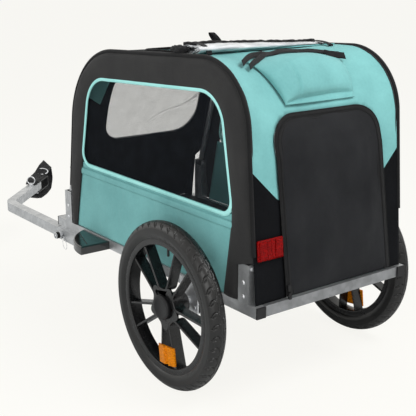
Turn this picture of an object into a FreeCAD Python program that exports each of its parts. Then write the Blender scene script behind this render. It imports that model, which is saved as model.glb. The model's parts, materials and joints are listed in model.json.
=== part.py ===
import FreeCAD, Part
import math
import os
from types import SimpleNamespace

import Sketcher
from FreeCAD import Placement, Rotation, Vector

# Dog bike trailer: +X towards the bicycle, +Y to the left wheel, +Z up, millimetres.
# Lengths along X are measured from the wheel axle; heights from the ground.

SIZES = {
    # wheels
    "track": 588,
    "wheel_radius": 200,
    "tyre_width": 48,
    "tyre_wall": 3.5,
    "tube_wall": 1.2,
    "rim_radius": 160,
    "rim_depth": 12,
    "rim_width": 34,
    "spoke_thickness": 7,
    "spoke_width": 26,
    "spoke_root_spread": 22,
    "spoke_tip_spread": 60,
    "spoke_turn": 25,
    "hub_radius": 28,
    "hub_inside": 40,
    "hub_outside": 13,
    "hub_flange_radius": 44,
    "hub_flange_width": 22,
    "scallop_radius": 15,
    "bearing_radius": 13,
    "bearing_width": 10,
    "hub_bore_radius": 9,
    "hub_cap_radius": 29.5,
    "hub_cap_height": 11,
    "hub_cap_wall": 4,
    "valve_radius": 3,
    "valve_length": 42,
    "spoke_reflector_width": 64,
    "spoke_reflector_height": 44,
    "spoke_reflector_depth": 8,
    # axles and their mounts
    "axle_radius": 6,
    "axle_head_radius": 9,
    "axle_head_length": 5,
    "axle_collar_radius": 10,
    "running_gap": 0.05,
    "side_gap": 0.5,
    "hanger_length": 70,
    "hanger_wall": 3,
    "hanger_drop": 52,
    "hanger_rise": 22,
    "rivet_radius": 3,
    "rivet_head_radius": 5,
    "rivet_head_height": 2.5,
    "rivet_grip": 4.5,
    "rivet_spacing": 48,
    # base frame
    "frame_width": 469,
    "rail_length": 880,
    "rail_size": 25,
    "rail_wall": 1.5,
    "rail_height": 230,
    "rear_overhang": 239,
    "front_bar_inset": 8,
    "plug_flange": 4,
    "plug_depth": 20,
    "plug_gap": 0.1,
    "floor_thickness": 3,
    "floor_margin": 1.5,
    # side hoops, their hinges and brackets
    "hoop_radius": 8,
    "hoop_wall": 1.5,
    "hoop_inset": 12.5,
    "hoop_front_lean": 0.30,
    "hoop_rear_lean": 0.056,
    "hoop_front_bend": 195,
    "hoop_rear_bend": 130,
    "hoop_drop": 23,
    "front_hinge": 578,
    "rear_hinge": 195,
    "left_hinge_rise": 78,
    "right_hinge_rise": 110,
    "hinge_bolt_radius": 3,
    "bolt_head_radius": 5.5,
    "bolt_head_height": 4,
    "bracket_gap": 30,
    "bracket_wall": 2,
    "bracket_top": 10,
    "bracket_depth": 21.5,
    "knuckle_gap": 0.3,
    "knuckle_stem": 30,
    # cloth sides
    "cloth": 3,
    "mesh_cloth": 1.2,
    "side_front_foot": 580,
    "side_front_lean": 0.135,
    "side_rear_foot": 226.5,
    "side_rear_lean": 0.085,
    "roof_height": 766,
    "roof_fall": 0.0486,
    "roof_mark": 50,
    "side_front_corner": 220,
    "side_rear_corner": 150,
    "band_front": 50,
    "band_front_lean": 0.22,
    "band_top": 70,
    "band_rear": 71,
    "band_rear_lean": 0.18,
    "band_rear_foot": 98.5,
    "band_rear_bend": 120,
    "window_front_corner": 85,
    "window_rear_corner": 75,
    "window_sill": 440,
    "fold_gap": 1.5,
    "notch_gap": 3,
    # cloth tunnel over the front, roof and rear
    "tunnel_gap": 1.2,
    "tunnel_cloth": 2.5,
    "front_foot": 630,
    "front_kink_share": 0.3718,
    "front_kink_bend": 60,
    "front_foot_width": 412,
    "front_foot_top": 390,
    "front_window_width": 320,
    "front_window_drop": 98,
    "front_window_height": 176,
    "front_window_corner": 45,
    "roof_window_front": 295,
    "roof_window_rear": 125,
    "roof_window_width": 330,
    "split_inset": 8,
    "door_width": 312,
    "door_height": 396,
    "door_corner": 62,
    "door_gap": 1,
    "door_lift": 2.5,
    "teal_side_height": 268,
    "teal_door_height": 206,
    "flap_width": 250,
    "flap_drop": 94,
    "flap_cloth": 5,
    "flap_gap": 0.6,
    "rain_roll_radius": 45,
    "rain_roll_length": 420,
    "rain_roll_centre": 30,
    "rain_roll_offset": 5,
    "rain_roll_squash": 0.24,
    "strap_width": 14,
    "strap_cloth": 1.6,
    "strap_spacing": 370,
    "reflector_width": 72,
    "reflector_height": 46,
    "reflector_depth": 9,
    "reflector_side": 185,
    "reflector_rise": 374,
    # wheel guards
    "guard_rear": 359,
    "guard_front": 495,
    "guard_reach": 85,
    "guard_height": 22,
    "guard_fillet": 4,
    # tow arm and hitch
    "arm_size": 28,
    "arm_wall": 2,
    "arm_offset": 8,
    "arm_gap": 0.5,
    "arm_pivot": 515,
    "arm_corner": 975,
    "arm_bend": 60,
    "arm_turn": 45,
    "arm_tail": 268,
    "arm_bolt_radius": 5,
    "receiver_front": 625,
    "receiver_rear": 497,
    "receiver_wall": 2.5,
    "receiver_side_wall": 2,
    "receiver_drop": 17,
    "lock_pin": 600,
    "lock_pin_radius": 4,
    "lock_pin_slack": 0.3,
    "lock_slot_relief": 3,
    "knob_radius": 9,
    "knob_length": 16,
    "knob_stand_off": 6,
    "yoke_wall": 4,
    "yoke_width": 34,
    "yoke_reach": 70,
    "yoke_back": 18,
    "yoke_gap": 0.5,
    "yoke_bore_radius": 5,
    "yoke_bore_reach": 46,
    "hitch_bolt_back": 15,
    "hitch_bolt_radius": 4,
    "hitch_head_radius": 8,
    "hitch_head_height": 5,
    "hitch_pin_back": 62,
    "hitch_pin_radius": 4,
    "hitch_pin_below": 4,
    "hitch_pin_head": 7,
    "hitch_ring_radius": 13,
    "hitch_ring_wire": 1.6,
    "webbing_width": 38,
    "webbing_cloth": 2,
    "webbing_gap": 0.3,
    "webbing_reach": 85,
    "webbing_rise": 30,
    "webbing_tail": 110,
    "webbing_drop": 26,
}

SPOKE_PAIRS = 5

doc = FreeCAD.newDocument("dog_bike_trailer")
sheet = doc.addObject("Spreadsheet::Sheet", "Sizes")
for row, (alias, amount) in enumerate(SIZES.items(), 1):
    sheet.set(f"A{row}", alias)
    sheet.set(f"B{row}", str(amount))
    sheet.setAlias(f"B{row}", alias)
doc.recompute()


class Size(float):
    """A number together with the sheet formula that gives it."""

    def __new__(cls, number, formula):
        made = float.__new__(cls, number)
        made.formula = formula
        return made

    def __add__(self, other):
        return Size(float(self) + float(other), f"({self.formula} + {formula_of(other)})")

    def __radd__(self, other):
        return Size(float(other) + float(self), f"({formula_of(other)} + {self.formula})")

    def __sub__(self, other):
        return Size(float(self) - float(other), f"({self.formula} - {formula_of(other)})")

    def __rsub__(self, other):
        return Size(float(other) - float(self), f"({formula_of(other)} - {self.formula})")

    def __mul__(self, other):
        return Size(float(self) * float(other), f"({self.formula} * {formula_of(other)})")

    __rmul__ = __mul__

    def __truediv__(self, other):
        return Size(float(self) / float(other), f"({self.formula} / {formula_of(other)})")

    def __neg__(self):
        return Size(-float(self), f"(-{self.formula})")


def formula_of(number):
    if isinstance(number, Size):
        return number.formula
    return f"({float(number)!r})"


d = SimpleNamespace(**{name: Size(sheet.get(name), f"Sizes.{name}") for name in SIZES})
nodes = {}

ALONG = {
    "x": Rotation(Vector(0, 1, 0), 90),
    "y": Rotation(Vector(1, 0, 0), -90),
    "z": Rotation(),
}


# Building blocks

def node(label, item):
    item.Label = label
    nodes[label] = item
    return item


def bind(item, **numbers):
    for name, number in numbers.items():
        item.setExpression(name, formula_of(number))
    return item


def place(item, spot, turn=None):
    item.Placement = Placement(Vector(*spot), turn or Rotation())
    for axis, number in zip("xyz", spot):
        item.setExpression(f"Placement.Base.{axis}", formula_of(number))
    return item


def box(name, lengths, corner, turn=None):
    item = doc.addObject("Part::Box", name)
    bind(item, Length=lengths[0], Width=lengths[1], Height=lengths[2])
    return place(item, corner, turn)


def rod(name, radius, length, start, along):
    item = doc.addObject("Part::Cylinder", name)
    bind(item, Radius=radius, Height=length)
    turn = ALONG[along] if isinstance(along, str) else Rotation(Vector(0, 0, 1), along)
    return place(item, start, turn)


def torus(name, ring_radius, wire_radius, centre, along):
    item = doc.addObject("Part::Torus", name)
    bind(item, Radius1=ring_radius, Radius2=wire_radius)
    turn = ALONG[along] if isinstance(along, str) else Rotation(Vector(0, 0, 1), along)
    return place(item, centre, turn)


def join(name, *items):
    if len(items) == 1:
        return items[0]
    item = doc.addObject("Part::MultiFuse", name)
    item.Shapes = list(items)
    return item


def cut(name, base, *tools):
    item = doc.addObject("Part::Cut", name)
    item.Base = base
    item.Tool = join(name + "_tools", *tools)
    return item


def common(name, first, second):
    item = doc.addObject("Part::Common", name)
    item.Base = first
    item.Tool = second
    return item


def group(name, *items):
    item = doc.addObject("Part::Compound", name)
    item.Links = list(items)
    return item


def mirror(name, source):
    item = doc.addObject("Part::Mirroring", name)
    item.Source = source
    item.Normal = Vector(0, 1, 0)
    return item


def solid(name, shape):
    item = doc.addObject("Part::Feature", name)
    item.Shape = shape
    return item


def profile(body, name, plane, points):
    sketch = body.newObject("Sketcher::SketchObject", name)
    sketch.AttachmentSupport = [next(f for f in body.Origin.OriginFeatures if f.Role == plane)]
    sketch.MapMode = "FlatFace"
    count = len(points)
    for start, end in zip(points, points[1:] + points[:1]):
        sketch.addGeometry(Part.LineSegment(Vector(*start, 0), Vector(*end, 0)), False)
    for index in range(count):
        sketch.addConstraint(Sketcher.Constraint("Coincident", index, 2, (index + 1) % count, 1))
    for index, point in enumerate(points):
        for kind, number in zip(("DistanceX", "DistanceY"), point):
            rule = sketch.addConstraint(Sketcher.Constraint(kind, -1, 1, index, 1, float(number)))
            if isinstance(number, Size):
                sketch.setExpression(f"Constraints[{rule}]", number.formula)
    return sketch


def turned(name, points, centre=(0, 0, 0)):
    """A body turned about the Y axis from (radius, width) points."""
    body = doc.addObject("PartDesign::Body", name)
    sketch = profile(body, name + "_profile", "XY_Plane", points)
    turn = body.newObject("PartDesign::Revolution", name + "_turn")
    turn.Profile = sketch
    turn.ReferenceAxis = (sketch, ["V_Axis"])
    turn.Angle = 360
    sketch.Visibility = False
    return place(body, centre)


def padded(name, plane, points, length, corner):
    """A body padded from a straight-sided sketch."""
    body = doc.addObject("PartDesign::Body", name)
    sketch = profile(body, name + "_profile", plane, points)
    pad = body.newObject("PartDesign::Pad", name + "_pad")
    pad.Profile = sketch
    bind(pad, Length=length)
    return place(body, corner)


def rounded(points, radii, closed=False):
    """Edges of straight runs joined by tangent arcs at the points that have a radius."""
    count = len(points)
    arrive, leave, arcs = {}, {}, {}
    for index, (point, radius) in enumerate(zip(points, radii)):
        arrive[index] = leave[index] = point
        if not radius:
            continue
        back = (points[index - 1] - point).normalize()
        ahead = (points[(index + 1) % count] - point).normalize()
        half = back.getAngle(ahead) / 2
        arrive[index] = point + back * (radius / math.tan(half))
        leave[index] = point + ahead * (radius / math.tan(half))
        middle = point + (back + ahead).normalize() * (radius / math.sin(half) - radius)
        arcs[index] = Part.Arc(arrive[index], middle, leave[index]).toShape()
    edges = []
    for index in range(count if closed else count - 1):
        if index in arcs and (closed or index):
            edges.append(arcs[index])
        after = (index + 1) % count
        edges.append(Part.LineSegment(leave[index], arrive[after]).toShape())
    return edges


def prism(edges, along):
    return Part.Face(Part.Wire(edges)).extrude(along)


def pipe(edges, section):
    return Part.Wire(edges).makePipeShell([section], True, False)


def block(low, high):
    low, high = Vector(*low), Vector(*high)
    size = high - low
    return Part.makeBox(size.x, size.y, size.z, low)


# Places worked out from the sizes

ARM_TURN = math.radians(d.arm_turn)
TAIL = Vector(math.cos(ARM_TURN), -math.sin(ARM_TURN), 0)
ACROSS = Vector(math.sin(ARM_TURN), math.cos(ARM_TURN), 0)

rear_reach = d.rear_overhang + d.plug_flange
front_reach = (
    d.arm_corner
    + (d.arm_tail + d.webbing_reach) * TAIL.x
    + d.webbing_width / 2 * ACROSS.x
)
axle_x = (rear_reach - front_reach) / 2
wheel_y = d.track / 2
rail_outer = d.frame_width / 2
rail_inner = rail_outer - d.rail_size
rail_top = d.rail_height + d.rail_size
rail_middle = d.rail_height + d.rail_size / 2
rail_front = d.rail_length - d.rear_overhang
hoop_y = rail_outer - d.hoop_inset
cloth_inner = hoop_y + d.hoop_radius
cloth_outer = cloth_inner + d.cloth
arm_y = rail_outer - d.rail_size / 2 + d.arm_offset
arm_top = d.rail_height - d.receiver_wall - d.arm_gap
arm_z = arm_top - d.arm_size / 2


def at(x):
    return axle_x + x


# Base frame

def tube_along_x(name, x, y, length, holes):
    outer = box(name + "_outer", (length, d.rail_size, d.rail_size), (at(x), y, d.rail_height))
    inner = d.rail_size - d.rail_wall * 2
    bore = box(
        name + "_bore",
        (length, inner, inner),
        (at(x), y + d.rail_wall, d.rail_height + d.rail_wall),
    )
    return cut(name, outer, bore, *holes)


def rivet_spots():
    """Where the rivets of the left wheel mount go in, as (x, z)."""
    low = d.rail_height - d.hanger_drop + d.rivet_head_radius * 2
    for side in (-1, 1):
        yield at(d.rivet_spacing * (side / 2)), rail_middle
        yield at(d.rivet_spacing * (side / 2)), low


def rivet_holes(name):
    return [
        rod(
            f"{name}_{index}",
            d.rivet_radius,
            d.rivet_grip,
            (x, rail_outer + d.hanger_wall - d.rivet_grip, z),
            "y",
        )
        for index, (x, z) in enumerate(rivet_spots())
    ]


left_rail = tube_along_x(
    "left_rail_tube", -d.rear_overhang, rail_inner, d.rail_length, rivet_holes("rail_rivet_hole")
)
node("left_rail", left_rail)
node("right_rail", mirror("right_rail_tube", left_rail))


def crossbar(label, x, reach):
    wide = reach * 2
    inner = d.rail_size - d.rail_wall * 2
    outer = box(label + "_outer", (d.rail_size, wide, d.rail_size), (at(x), -reach, d.rail_height))
    bore = box(
        label + "_bore",
        (inner, wide, inner),
        (at(x) + d.rail_wall, -reach, d.rail_height + d.rail_wall),
    )
    return node(label, cut(label + "_tube", outer, bore))


front_bar_x = rail_front - d.front_bar_inset - d.rail_size
crossbar("front_crossbar", front_bar_x, rail_inner)
crossbar("middle_crossbar", -d.rail_size / 2, rail_inner - d.hanger_wall)
crossbar("rear_crossbar", -d.rear_overhang, rail_inner)


def end_plug(name, face, inwards):
    """A moulded plug: its flange covers the tube's end and its stub goes inside."""
    flange = d.plug_flange
    stub = d.rail_size - d.rail_wall * 2 - d.plug_gap * 2
    edge = d.rail_wall + d.plug_gap
    flange_x = at(face) - flange if inwards > 0 else at(face)
    stub_x = at(face) if inwards > 0 else at(face) - d.plug_depth
    return join(
        name,
        box(name + "_flange", (flange, d.rail_size, d.rail_size), (flange_x, rail_inner, d.rail_height)),
        box(name + "_stub", (d.plug_depth, stub, stub), (stub_x, rail_inner + edge, d.rail_height + edge)),
    )


rear_plug = end_plug("left_rear_plug", -d.rear_overhang, 1)
front_plug = end_plug("left_front_plug", rail_front, -1)
node(
    "rail_end_plugs",
    group(
        "plugs",
        rear_plug,
        front_plug,
        mirror("right_rear_plug", rear_plug),
        mirror("right_front_plug", front_plug),
    ),
)

floor_y = rail_inner - d.floor_margin
floor_rear = -d.rear_overhang + d.rail_size
node(
    "floor_panel",
    box(
        "floor",
        (front_bar_x + d.rail_size / 2 - floor_rear, floor_y * 2, d.floor_thickness),
        (at(floor_rear), -floor_y, rail_top),
    ),
)


# Wheel mounts and axles

hanger_low = d.rail_height - d.hanger_drop
hanger_x = at(-d.hanger_length / 2)
hanger_inner_face = rail_inner - d.hanger_wall
hanger_outer_face = rail_outer + d.hanger_wall
axle_hole = d.axle_radius + d.running_gap
axle_centre = d.wheel_radius

plate_height = d.hanger_drop + d.hanger_rise
hanger_shell = join(
    "hanger_shell",
    box("hanger_outer", (d.hanger_length, d.hanger_wall, plate_height), (hanger_x, rail_outer, hanger_low)),
    box(
        "hanger_inner",
        (d.hanger_length, d.hanger_wall, plate_height),
        (hanger_x, hanger_inner_face, hanger_low),
    ),
    box(
        "hanger_web",
        (d.hanger_length, d.rail_size + d.hanger_wall * 2, d.hanger_wall),
        (hanger_x, hanger_inner_face, hanger_low - d.hanger_wall),
    ),
)
axle_passage = rod(
    "axle_passage",
    axle_hole,
    d.rail_size + d.hanger_wall * 2,
    (at(0), hanger_inner_face, axle_centre),
    "y",
)
left_hanger = cut("left_hanger_plates", hanger_shell, axle_passage, *rivet_holes("hanger_rivet_hole"))
node("left_axle_hanger", left_hanger)
node("right_axle_hanger", mirror("right_hanger_plates", left_hanger))

block_passage = rod("block_passage", axle_hole, d.rail_size, (at(0), rail_inner, axle_centre), "y")
left_block = cut(
    "left_block",
    box("block_body", (d.hanger_length, d.rail_size, d.hanger_drop), (hanger_x, rail_inner, hanger_low)),
    block_passage,
    *rivet_holes("block_rivet_hole"),
)
node("left_axle_block", left_block)
node("right_axle_block", mirror("right_block", left_block))

hub_inner_face = wheel_y - d.hub_inside
hub_outer_face = wheel_y + d.hub_outside
axle_start = hanger_inner_face - d.axle_head_length
axle_end = hub_outer_face + d.side_gap + d.axle_head_length
left_axle = join(
    "left_axle_parts",
    rod("axle_shank", d.axle_radius, axle_end - axle_start, (at(0), axle_start, axle_centre), "y"),
    rod("axle_head", d.axle_head_radius, d.axle_head_length, (at(0), axle_start, axle_centre), "y"),
    rod(
        "axle_collar",
        d.axle_collar_radius,
        hub_inner_face - d.side_gap - hanger_outer_face,
        (at(0), hanger_outer_face, axle_centre),
        "y",
    ),
    rod(
        "axle_nut",
        d.axle_head_radius,
        d.axle_head_length,
        (at(0), hub_outer_face + d.side_gap, axle_centre),
        "y",
    ),
)
node("left_axle", left_axle)
node("right_axle", mirror("right_axle_parts", left_axle))


def rivet(name, x, z):
    shank_y = hanger_outer_face - d.rivet_grip
    return join(
        name,
        rod(name + "_shank", d.rivet_radius, d.rivet_grip, (x, shank_y, z), "y"),
        rod(name + "_head", d.rivet_head_radius, d.rivet_head_height, (x, hanger_outer_face, z), "y"),
    )


left_rivets = [rivet(f"rivet_{index}", x, z) for index, (x, z) in enumerate(rivet_spots())]
fasteners = left_rivets + [mirror(item.Name + "_right", item) for item in left_rivets]


# Hinge brackets, bolts and knuckles

HINGES = {"front": (d.front_hinge, -d.hoop_front_lean), "rear": (-d.rear_hinge, d.hoop_rear_lean)}
RISES = {"left": d.left_hinge_rise, "right": d.right_hinge_rise}
hinge_hole = d.hinge_bolt_radius + d.running_gap
bracket_width = d.bracket_gap + d.bracket_wall * 2


def hinge_height(side):
    return rail_top + RISES[side]


def hinges(side):
    """The two hinge places of a side: higher hinges sit further along the leaning legs."""
    extra = RISES[side] - d.left_hinge_rise
    return {end: (x + lean * extra, lean) for end, (x, lean) in HINGES.items()}


def sided(side, item):
    """Pieces are made on the left; the right ones are their mirror image."""
    return item if side == "left" else mirror(item.Name + "_right", item)


def bracket(name, side, x):
    height = RISES[side] + d.bracket_top
    half = bracket_width / 2
    inner = d.bracket_gap / 2
    deep = d.bracket_depth
    channel = [
        (-half, -deep),
        (-half, 0),
        (half, 0),
        (half, -deep),
        (inner, -deep),
        (inner, -d.bracket_wall),
        (-inner, -d.bracket_wall),
        (-inner, -deep),
    ]
    body = padded(name + "_channel", "XY_Plane", channel, height, (at(x), rail_outer, rail_top))
    hole = rod(name + "_hole", hinge_hole, bracket_width, (at(x) - half, hoop_y, hinge_height(side)), "x")
    return sided(side, cut(name, body, hole))


def hinge_bolt(name, side, x):
    half = bracket_width / 2
    head = d.bolt_head_height
    spot = (hoop_y, hinge_height(side))
    return sided(
        side,
        join(
            name,
            rod(
                name + "_shank",
                d.hinge_bolt_radius,
                bracket_width + head * 2,
                (at(x) - half - head, *spot),
                "x",
            ),
            rod(name + "_head", d.bolt_head_radius, head, (at(x) - half - head, *spot), "x"),
            rod(name + "_nut", d.bolt_head_radius, head, (at(x) + half, *spot), "x"),
        ),
    )


def knuckle(name, side, x, lean):
    """The hoop's foot: a round knuckle on the hinge bolt with a stem inside the tube."""
    width = d.bracket_gap - d.knuckle_gap * 2
    up = Vector(lean, 0, 1).normalize()
    spot = (at(x), hoop_y, hinge_height(side))
    collar = d.bracket_top
    stem = d.hoop_radius - d.hoop_wall - d.running_gap
    body = join(
        name + "_body",
        rod(name + "_barrel", d.hoop_radius, width, (at(x) - width / 2, *spot[1:]), "x"),
        rod(name + "_collar", d.hoop_radius, collar, spot, up),
        rod(name + "_stem", stem, collar + d.knuckle_stem, spot, up),
    )
    bore = rod(name + "_bore", hinge_hole, width, (at(x) - width / 2, *spot[1:]), "x")
    return sided(side, cut(name, body, bore))


for side in RISES:
    node(
        f"{side}_hinge_brackets",
        group(
            f"{side}_brackets",
            *(bracket(f"{side}_{end}_bracket", side, x) for end, (x, _) in hinges(side).items()),
        ),
    )
    node(
        f"{side}_hoop_knuckles",
        group(
            f"{side}_feet",
            *(knuckle(f"{side}_{end}_knuckle", side, x, lean) for end, (x, lean) in hinges(side).items()),
        ),
    )
    fasteners += [hinge_bolt(f"{side}_{end}_hinge_bolt", side, x) for end, (x, _) in hinges(side).items()]


# Side outline in the XZ plane

def meet(front_x, front_lean, roof_z, roof_fall):
    """Where a leaning post x = front_x + lean * z meets the roof line z = roof_z - fall * x."""
    z = (roof_z - roof_fall * front_x) / (1 + roof_fall * front_lean)
    return front_x + front_lean * z, z


def side_corners(grow, foot_z):
    """Front foot, front top, rear top and rear foot of the side, moved out by grow."""
    front_lean, rear_lean = -d.side_front_lean, d.side_rear_lean
    front_x = d.side_front_foot - front_lean * rail_top + grow * math.hypot(1, front_lean)
    rear_x = -d.side_rear_foot - rear_lean * rail_top - grow * math.hypot(1, rear_lean)
    roof_z = d.roof_height - d.roof_fall * d.roof_mark + grow * math.hypot(1, d.roof_fall)
    return [
        (front_x + front_lean * foot_z, foot_z),
        meet(front_x, front_lean, roof_z, d.roof_fall),
        meet(rear_x, rear_lean, roof_z, d.roof_fall),
        (rear_x + rear_lean * foot_z, foot_z),
    ]


def on_roof(x, grow):
    return x, d.roof_height - d.roof_fall * (x + d.roof_mark) + grow * math.hypot(1, d.roof_fall)


def in_side(point, y=0.0):
    return Vector(at(point[0]), y, point[1])


def side_region(grow, foot_z, inner, outer):
    corners = [in_side(p, inner) for p in side_corners(grow, foot_z)]
    radii = [0, d.side_front_corner + grow, d.side_rear_corner + grow, 0]
    return prism(rounded(corners, radii, closed=True), Vector(0, outer - inner, 0))


def opening_region(inner, outer):
    """The window and lower panel inside the padded border."""
    foot = rail_top
    front_x = d.side_front_foot - d.band_front + d.band_front_lean * foot
    roof_z = d.roof_height - d.roof_fall * d.roof_mark - d.band_top
    rear_x = -d.side_rear_foot + d.band_rear
    rear_line = rear_x - d.band_rear_lean * d.window_sill
    points = [
        (front_x - d.band_front_lean * foot, foot),
        meet(front_x, -d.band_front_lean, roof_z, d.roof_fall),
        meet(rear_line, d.band_rear_lean, roof_z, d.roof_fall),
        (rear_x, d.window_sill),
        (d.band_rear_foot - d.side_rear_foot, foot),
    ]
    radii = [0, d.window_front_corner, d.window_rear_corner, d.band_rear_bend, 0]
    return prism(
        rounded([in_side(p, inner) for p in points], radii, closed=True), Vector(0, outer - inner, 0)
    )


FAR = d.rail_length


def slab(low, high):
    """Everything between two heights."""
    return block((-2 * FAR, -FAR, low), (2 * FAR, FAR, high))


def notches(side):
    """Room round the two brackets of a side, out to the ends of the trailer."""
    reach = bracket_width / 2 + d.notch_gap
    top = hinge_height(side) + d.bracket_top + d.notch_gap
    front = block((at(hinges(side)["front"][0]) - reach, 0, rail_top), (at(FAR), FAR, top))
    rear = block((at(-FAR), 0, rail_top), (at(hinges(side)["rear"][0]) + reach, FAR, top))
    return front.fuse(rear)


def hoop(side):
    """Bent tube from one knuckle over the roof to the other."""
    collar = d.bracket_top
    roof_z = d.roof_height - d.roof_fall * d.roof_mark - d.hoop_drop
    feet = {}
    tops = {}
    for end, (x, lean) in hinges(side).items():
        up = Vector(lean, 0, 1).normalize()
        feet[end] = in_side((x, hinge_height(side)), hoop_y) + up * collar
        tops[end] = in_side(meet(x - lean * hinge_height(side), lean, roof_z, d.roof_fall), hoop_y)
    points = [feet["front"], tops["front"], tops["rear"], feet["rear"]]
    path = rounded(points, [0, d.hoop_front_bend, d.hoop_rear_bend, 0])
    start = (points[1] - points[0]).normalize()
    outer = Part.Wire(Part.makeCircle(d.hoop_radius, points[0], start))
    inner = Part.Wire(Part.makeCircle(d.hoop_radius - d.hoop_wall, points[0], start))
    return pipe(path, outer).cut(pipe(path, inner))


def side_solid(side, name, shape):
    return node(f"{side}_{name}", sided(side, solid(f"{side}_{name}_made", shape)))


for side in RISES:
    fold = hinge_height(side)
    face = side_region(0, rail_top, cloth_inner, cloth_outer).cut(notches(side))
    opening = opening_region(cloth_inner, cloth_outer)
    mesh_inner = cloth_inner + (d.cloth - d.mesh_cloth) / 2
    above = slab(fold + d.fold_gap, 2 * d.roof_height)
    side_solid(side, "hoop", hoop(side))
    side_solid(side, "border", face.cut(opening).common(above))
    side_solid(side, "lower_panel", opening.common(slab(fold + d.fold_gap, d.window_sill)))
    mesh = opening_region(mesh_inner, mesh_inner + d.mesh_cloth)
    side_solid(side, "window", mesh.common(slab(d.window_sill, 2 * d.roof_height)))
    side_solid(side, "skirt", face.common(slab(0, fold - d.fold_gap)))


# Cloth tunnel over the front, roof and rear

half_tunnel = cloth_outer


def strip(path_at, near, far, half_width):
    """A cloth strip between two offsets of one path, across the trailer."""
    inside = path_at(near)
    outside = path_at(far)
    first = Part.LineSegment(inside[0].firstVertex(True).Point, outside[0].firstVertex(True).Point).toShape()
    last = Part.LineSegment(inside[-1].lastVertex(True).Point, outside[-1].lastVertex(True).Point).toShape()
    edges = Part.sortEdges(inside + outside + [first, last])[0]
    return prism(edges, Vector(0, 2 * half_width, 0))


def tangent_x(corner, radius, first, last):
    """X where the arc at a roof corner runs into the straight roof."""
    point, before, after = (in_side(p) for p in (corner, first, last))
    half = (before - point).getAngle(after - point) / 2
    return (point + (after - point).normalize() * (radius / math.tan(half))).x - axle_x


base = side_corners(0, rail_top)
front_split = tangent_x(base[1], d.side_front_corner, base[0], base[2]) - d.split_inset
rear_split = tangent_x(base[2], d.side_rear_corner, base[3], base[1]) + d.split_inset
near, far = d.tunnel_gap, d.tunnel_gap + d.tunnel_cloth
tunnel_foot = rail_top
front_kink = rail_top + d.front_kink_share * (d.roof_height - rail_top)
front_window_top = d.roof_height - d.front_window_drop


def front_path(grow):
    kink = side_corners(grow, front_kink)[0]
    foot = (d.front_foot + grow, tunnel_foot)
    points = [foot, kink, side_corners(grow, 0)[1], on_roof(front_split, grow)]
    return rounded(
        [in_side(p, -half_tunnel) for p in points], [0, d.front_kink_bend, d.side_front_corner + grow, 0]
    )


def roof_path(grow):
    return rounded([in_side(on_roof(x, grow), -half_tunnel) for x in (front_split, rear_split)], [0, 0])


def rear_path(grow):
    points = [on_roof(rear_split, grow), side_corners(grow, 0)[2], side_corners(grow, tunnel_foot)[3]]
    return rounded([in_side(p, -half_tunnel) for p in points], [0, d.side_rear_corner + grow, 0])


def facing_x(points, radii, low_x, high_x):
    """A prism through the front or rear with a (y, z) outline."""
    edges = rounded([Vector(at(low_x), y, z) for y, z in points], radii, closed=True)
    return prism(edges, Vector(high_x - low_x, 0, 0))


def rectangle(half_width, low, high):
    return [(-half_width, low), (half_width, low), (half_width, high), (-half_width, high)]


front_shell = strip(front_path, near, far, half_tunnel)
foot_sides = block((at(0), -FAR, 0), (at(FAR), FAR, d.front_foot_top)).cut(
    block((at(0), -d.front_foot_width / 2, 0), (at(FAR), d.front_foot_width / 2, d.front_foot_top))
)
window_edge = facing_x(
    rectangle(d.front_window_width / 2, front_window_top - d.front_window_height, front_window_top),
    [d.front_window_corner] * 4,
    front_split,
    FAR,
)
node("front_panel", solid("front_cloth", front_shell.cut(foot_sides).cut(window_edge)))
front_mesh = strip(front_path, near, near + d.mesh_cloth, half_tunnel)
node("front_window", solid("front_mesh", front_mesh.common(window_edge)))

roof_shell = strip(roof_path, near, far, half_tunnel)
roof_cut = block(
    (at(d.roof_window_rear), -d.roof_window_width / 2, rail_top),
    (at(d.roof_window_front), d.roof_window_width / 2, 2 * d.roof_height),
)
node("roof_panel", solid("roof_cloth", roof_shell.cut(roof_cut)))
roof_mesh = strip(roof_path, near, near + d.mesh_cloth, half_tunnel)
node("roof_window", solid("roof_mesh", roof_mesh.common(roof_cut)))

rear_shell = strip(rear_path, near, far, half_tunnel)
door_top = rail_top + d.door_height


def door_outline(grow):
    low = rail_top + d.door_lift - grow * (d.door_lift / d.door_gap)
    points = rectangle(d.door_width / 2 + grow, low, door_top + grow)
    return facing_x(points, [0, 0, d.door_corner + grow, d.door_corner + grow], -FAR, 0)


def round_hem(start, thickness, width):
    """The rolled hem that a flap or a door turns on, across the trailer."""
    return Part.makeCylinder(thickness / 2, width, start, Vector(0, 1, 0))


rear_cloth = rear_shell.cut(door_outline(d.door_gap))
lower_corner = [
    (0, rail_top),
    (FAR, rail_top),
    (half_tunnel, rail_top + d.teal_side_height),
    (d.door_width / 2, rail_top + d.teal_door_height),
    (0, rail_top + d.teal_door_height),
]
left_lower = facing_x(lower_corner, [0] * 5, -FAR, 0)
right_lower = left_lower.mirror(Vector(0, 0, 0), Vector(0, 1, 0))
lower_zone = left_lower.fuse(right_lower)
node("rear_upper_panel", solid("rear_upper_cloth", rear_cloth.cut(lower_zone)))
node("rear_corner_panels", solid("rear_corner_cloth", rear_cloth.common(lower_zone)))

hem_rear = -d.rear_overhang - d.door_gap * 3
hem_low = rail_top + d.door_lift
hem_middle = hem_rear + d.tunnel_cloth / 2
hem = block(
    (at(hem_middle), -d.door_width / 2, hem_low),
    (at(side_corners(near, hem_low)[3][0]), d.door_width / 2, hem_low + d.tunnel_cloth),
)
hem_cord = round_hem(
    Vector(at(hem_middle), -d.door_width / 2, hem_low + d.tunnel_cloth / 2), d.tunnel_cloth, d.door_width
)
door_sheet = rear_shell.common(door_outline(0)).fuse(hem).fuse(hem_cord)
node("rear_door", solid("door_cloth", door_sheet.removeSplitter()))


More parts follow.
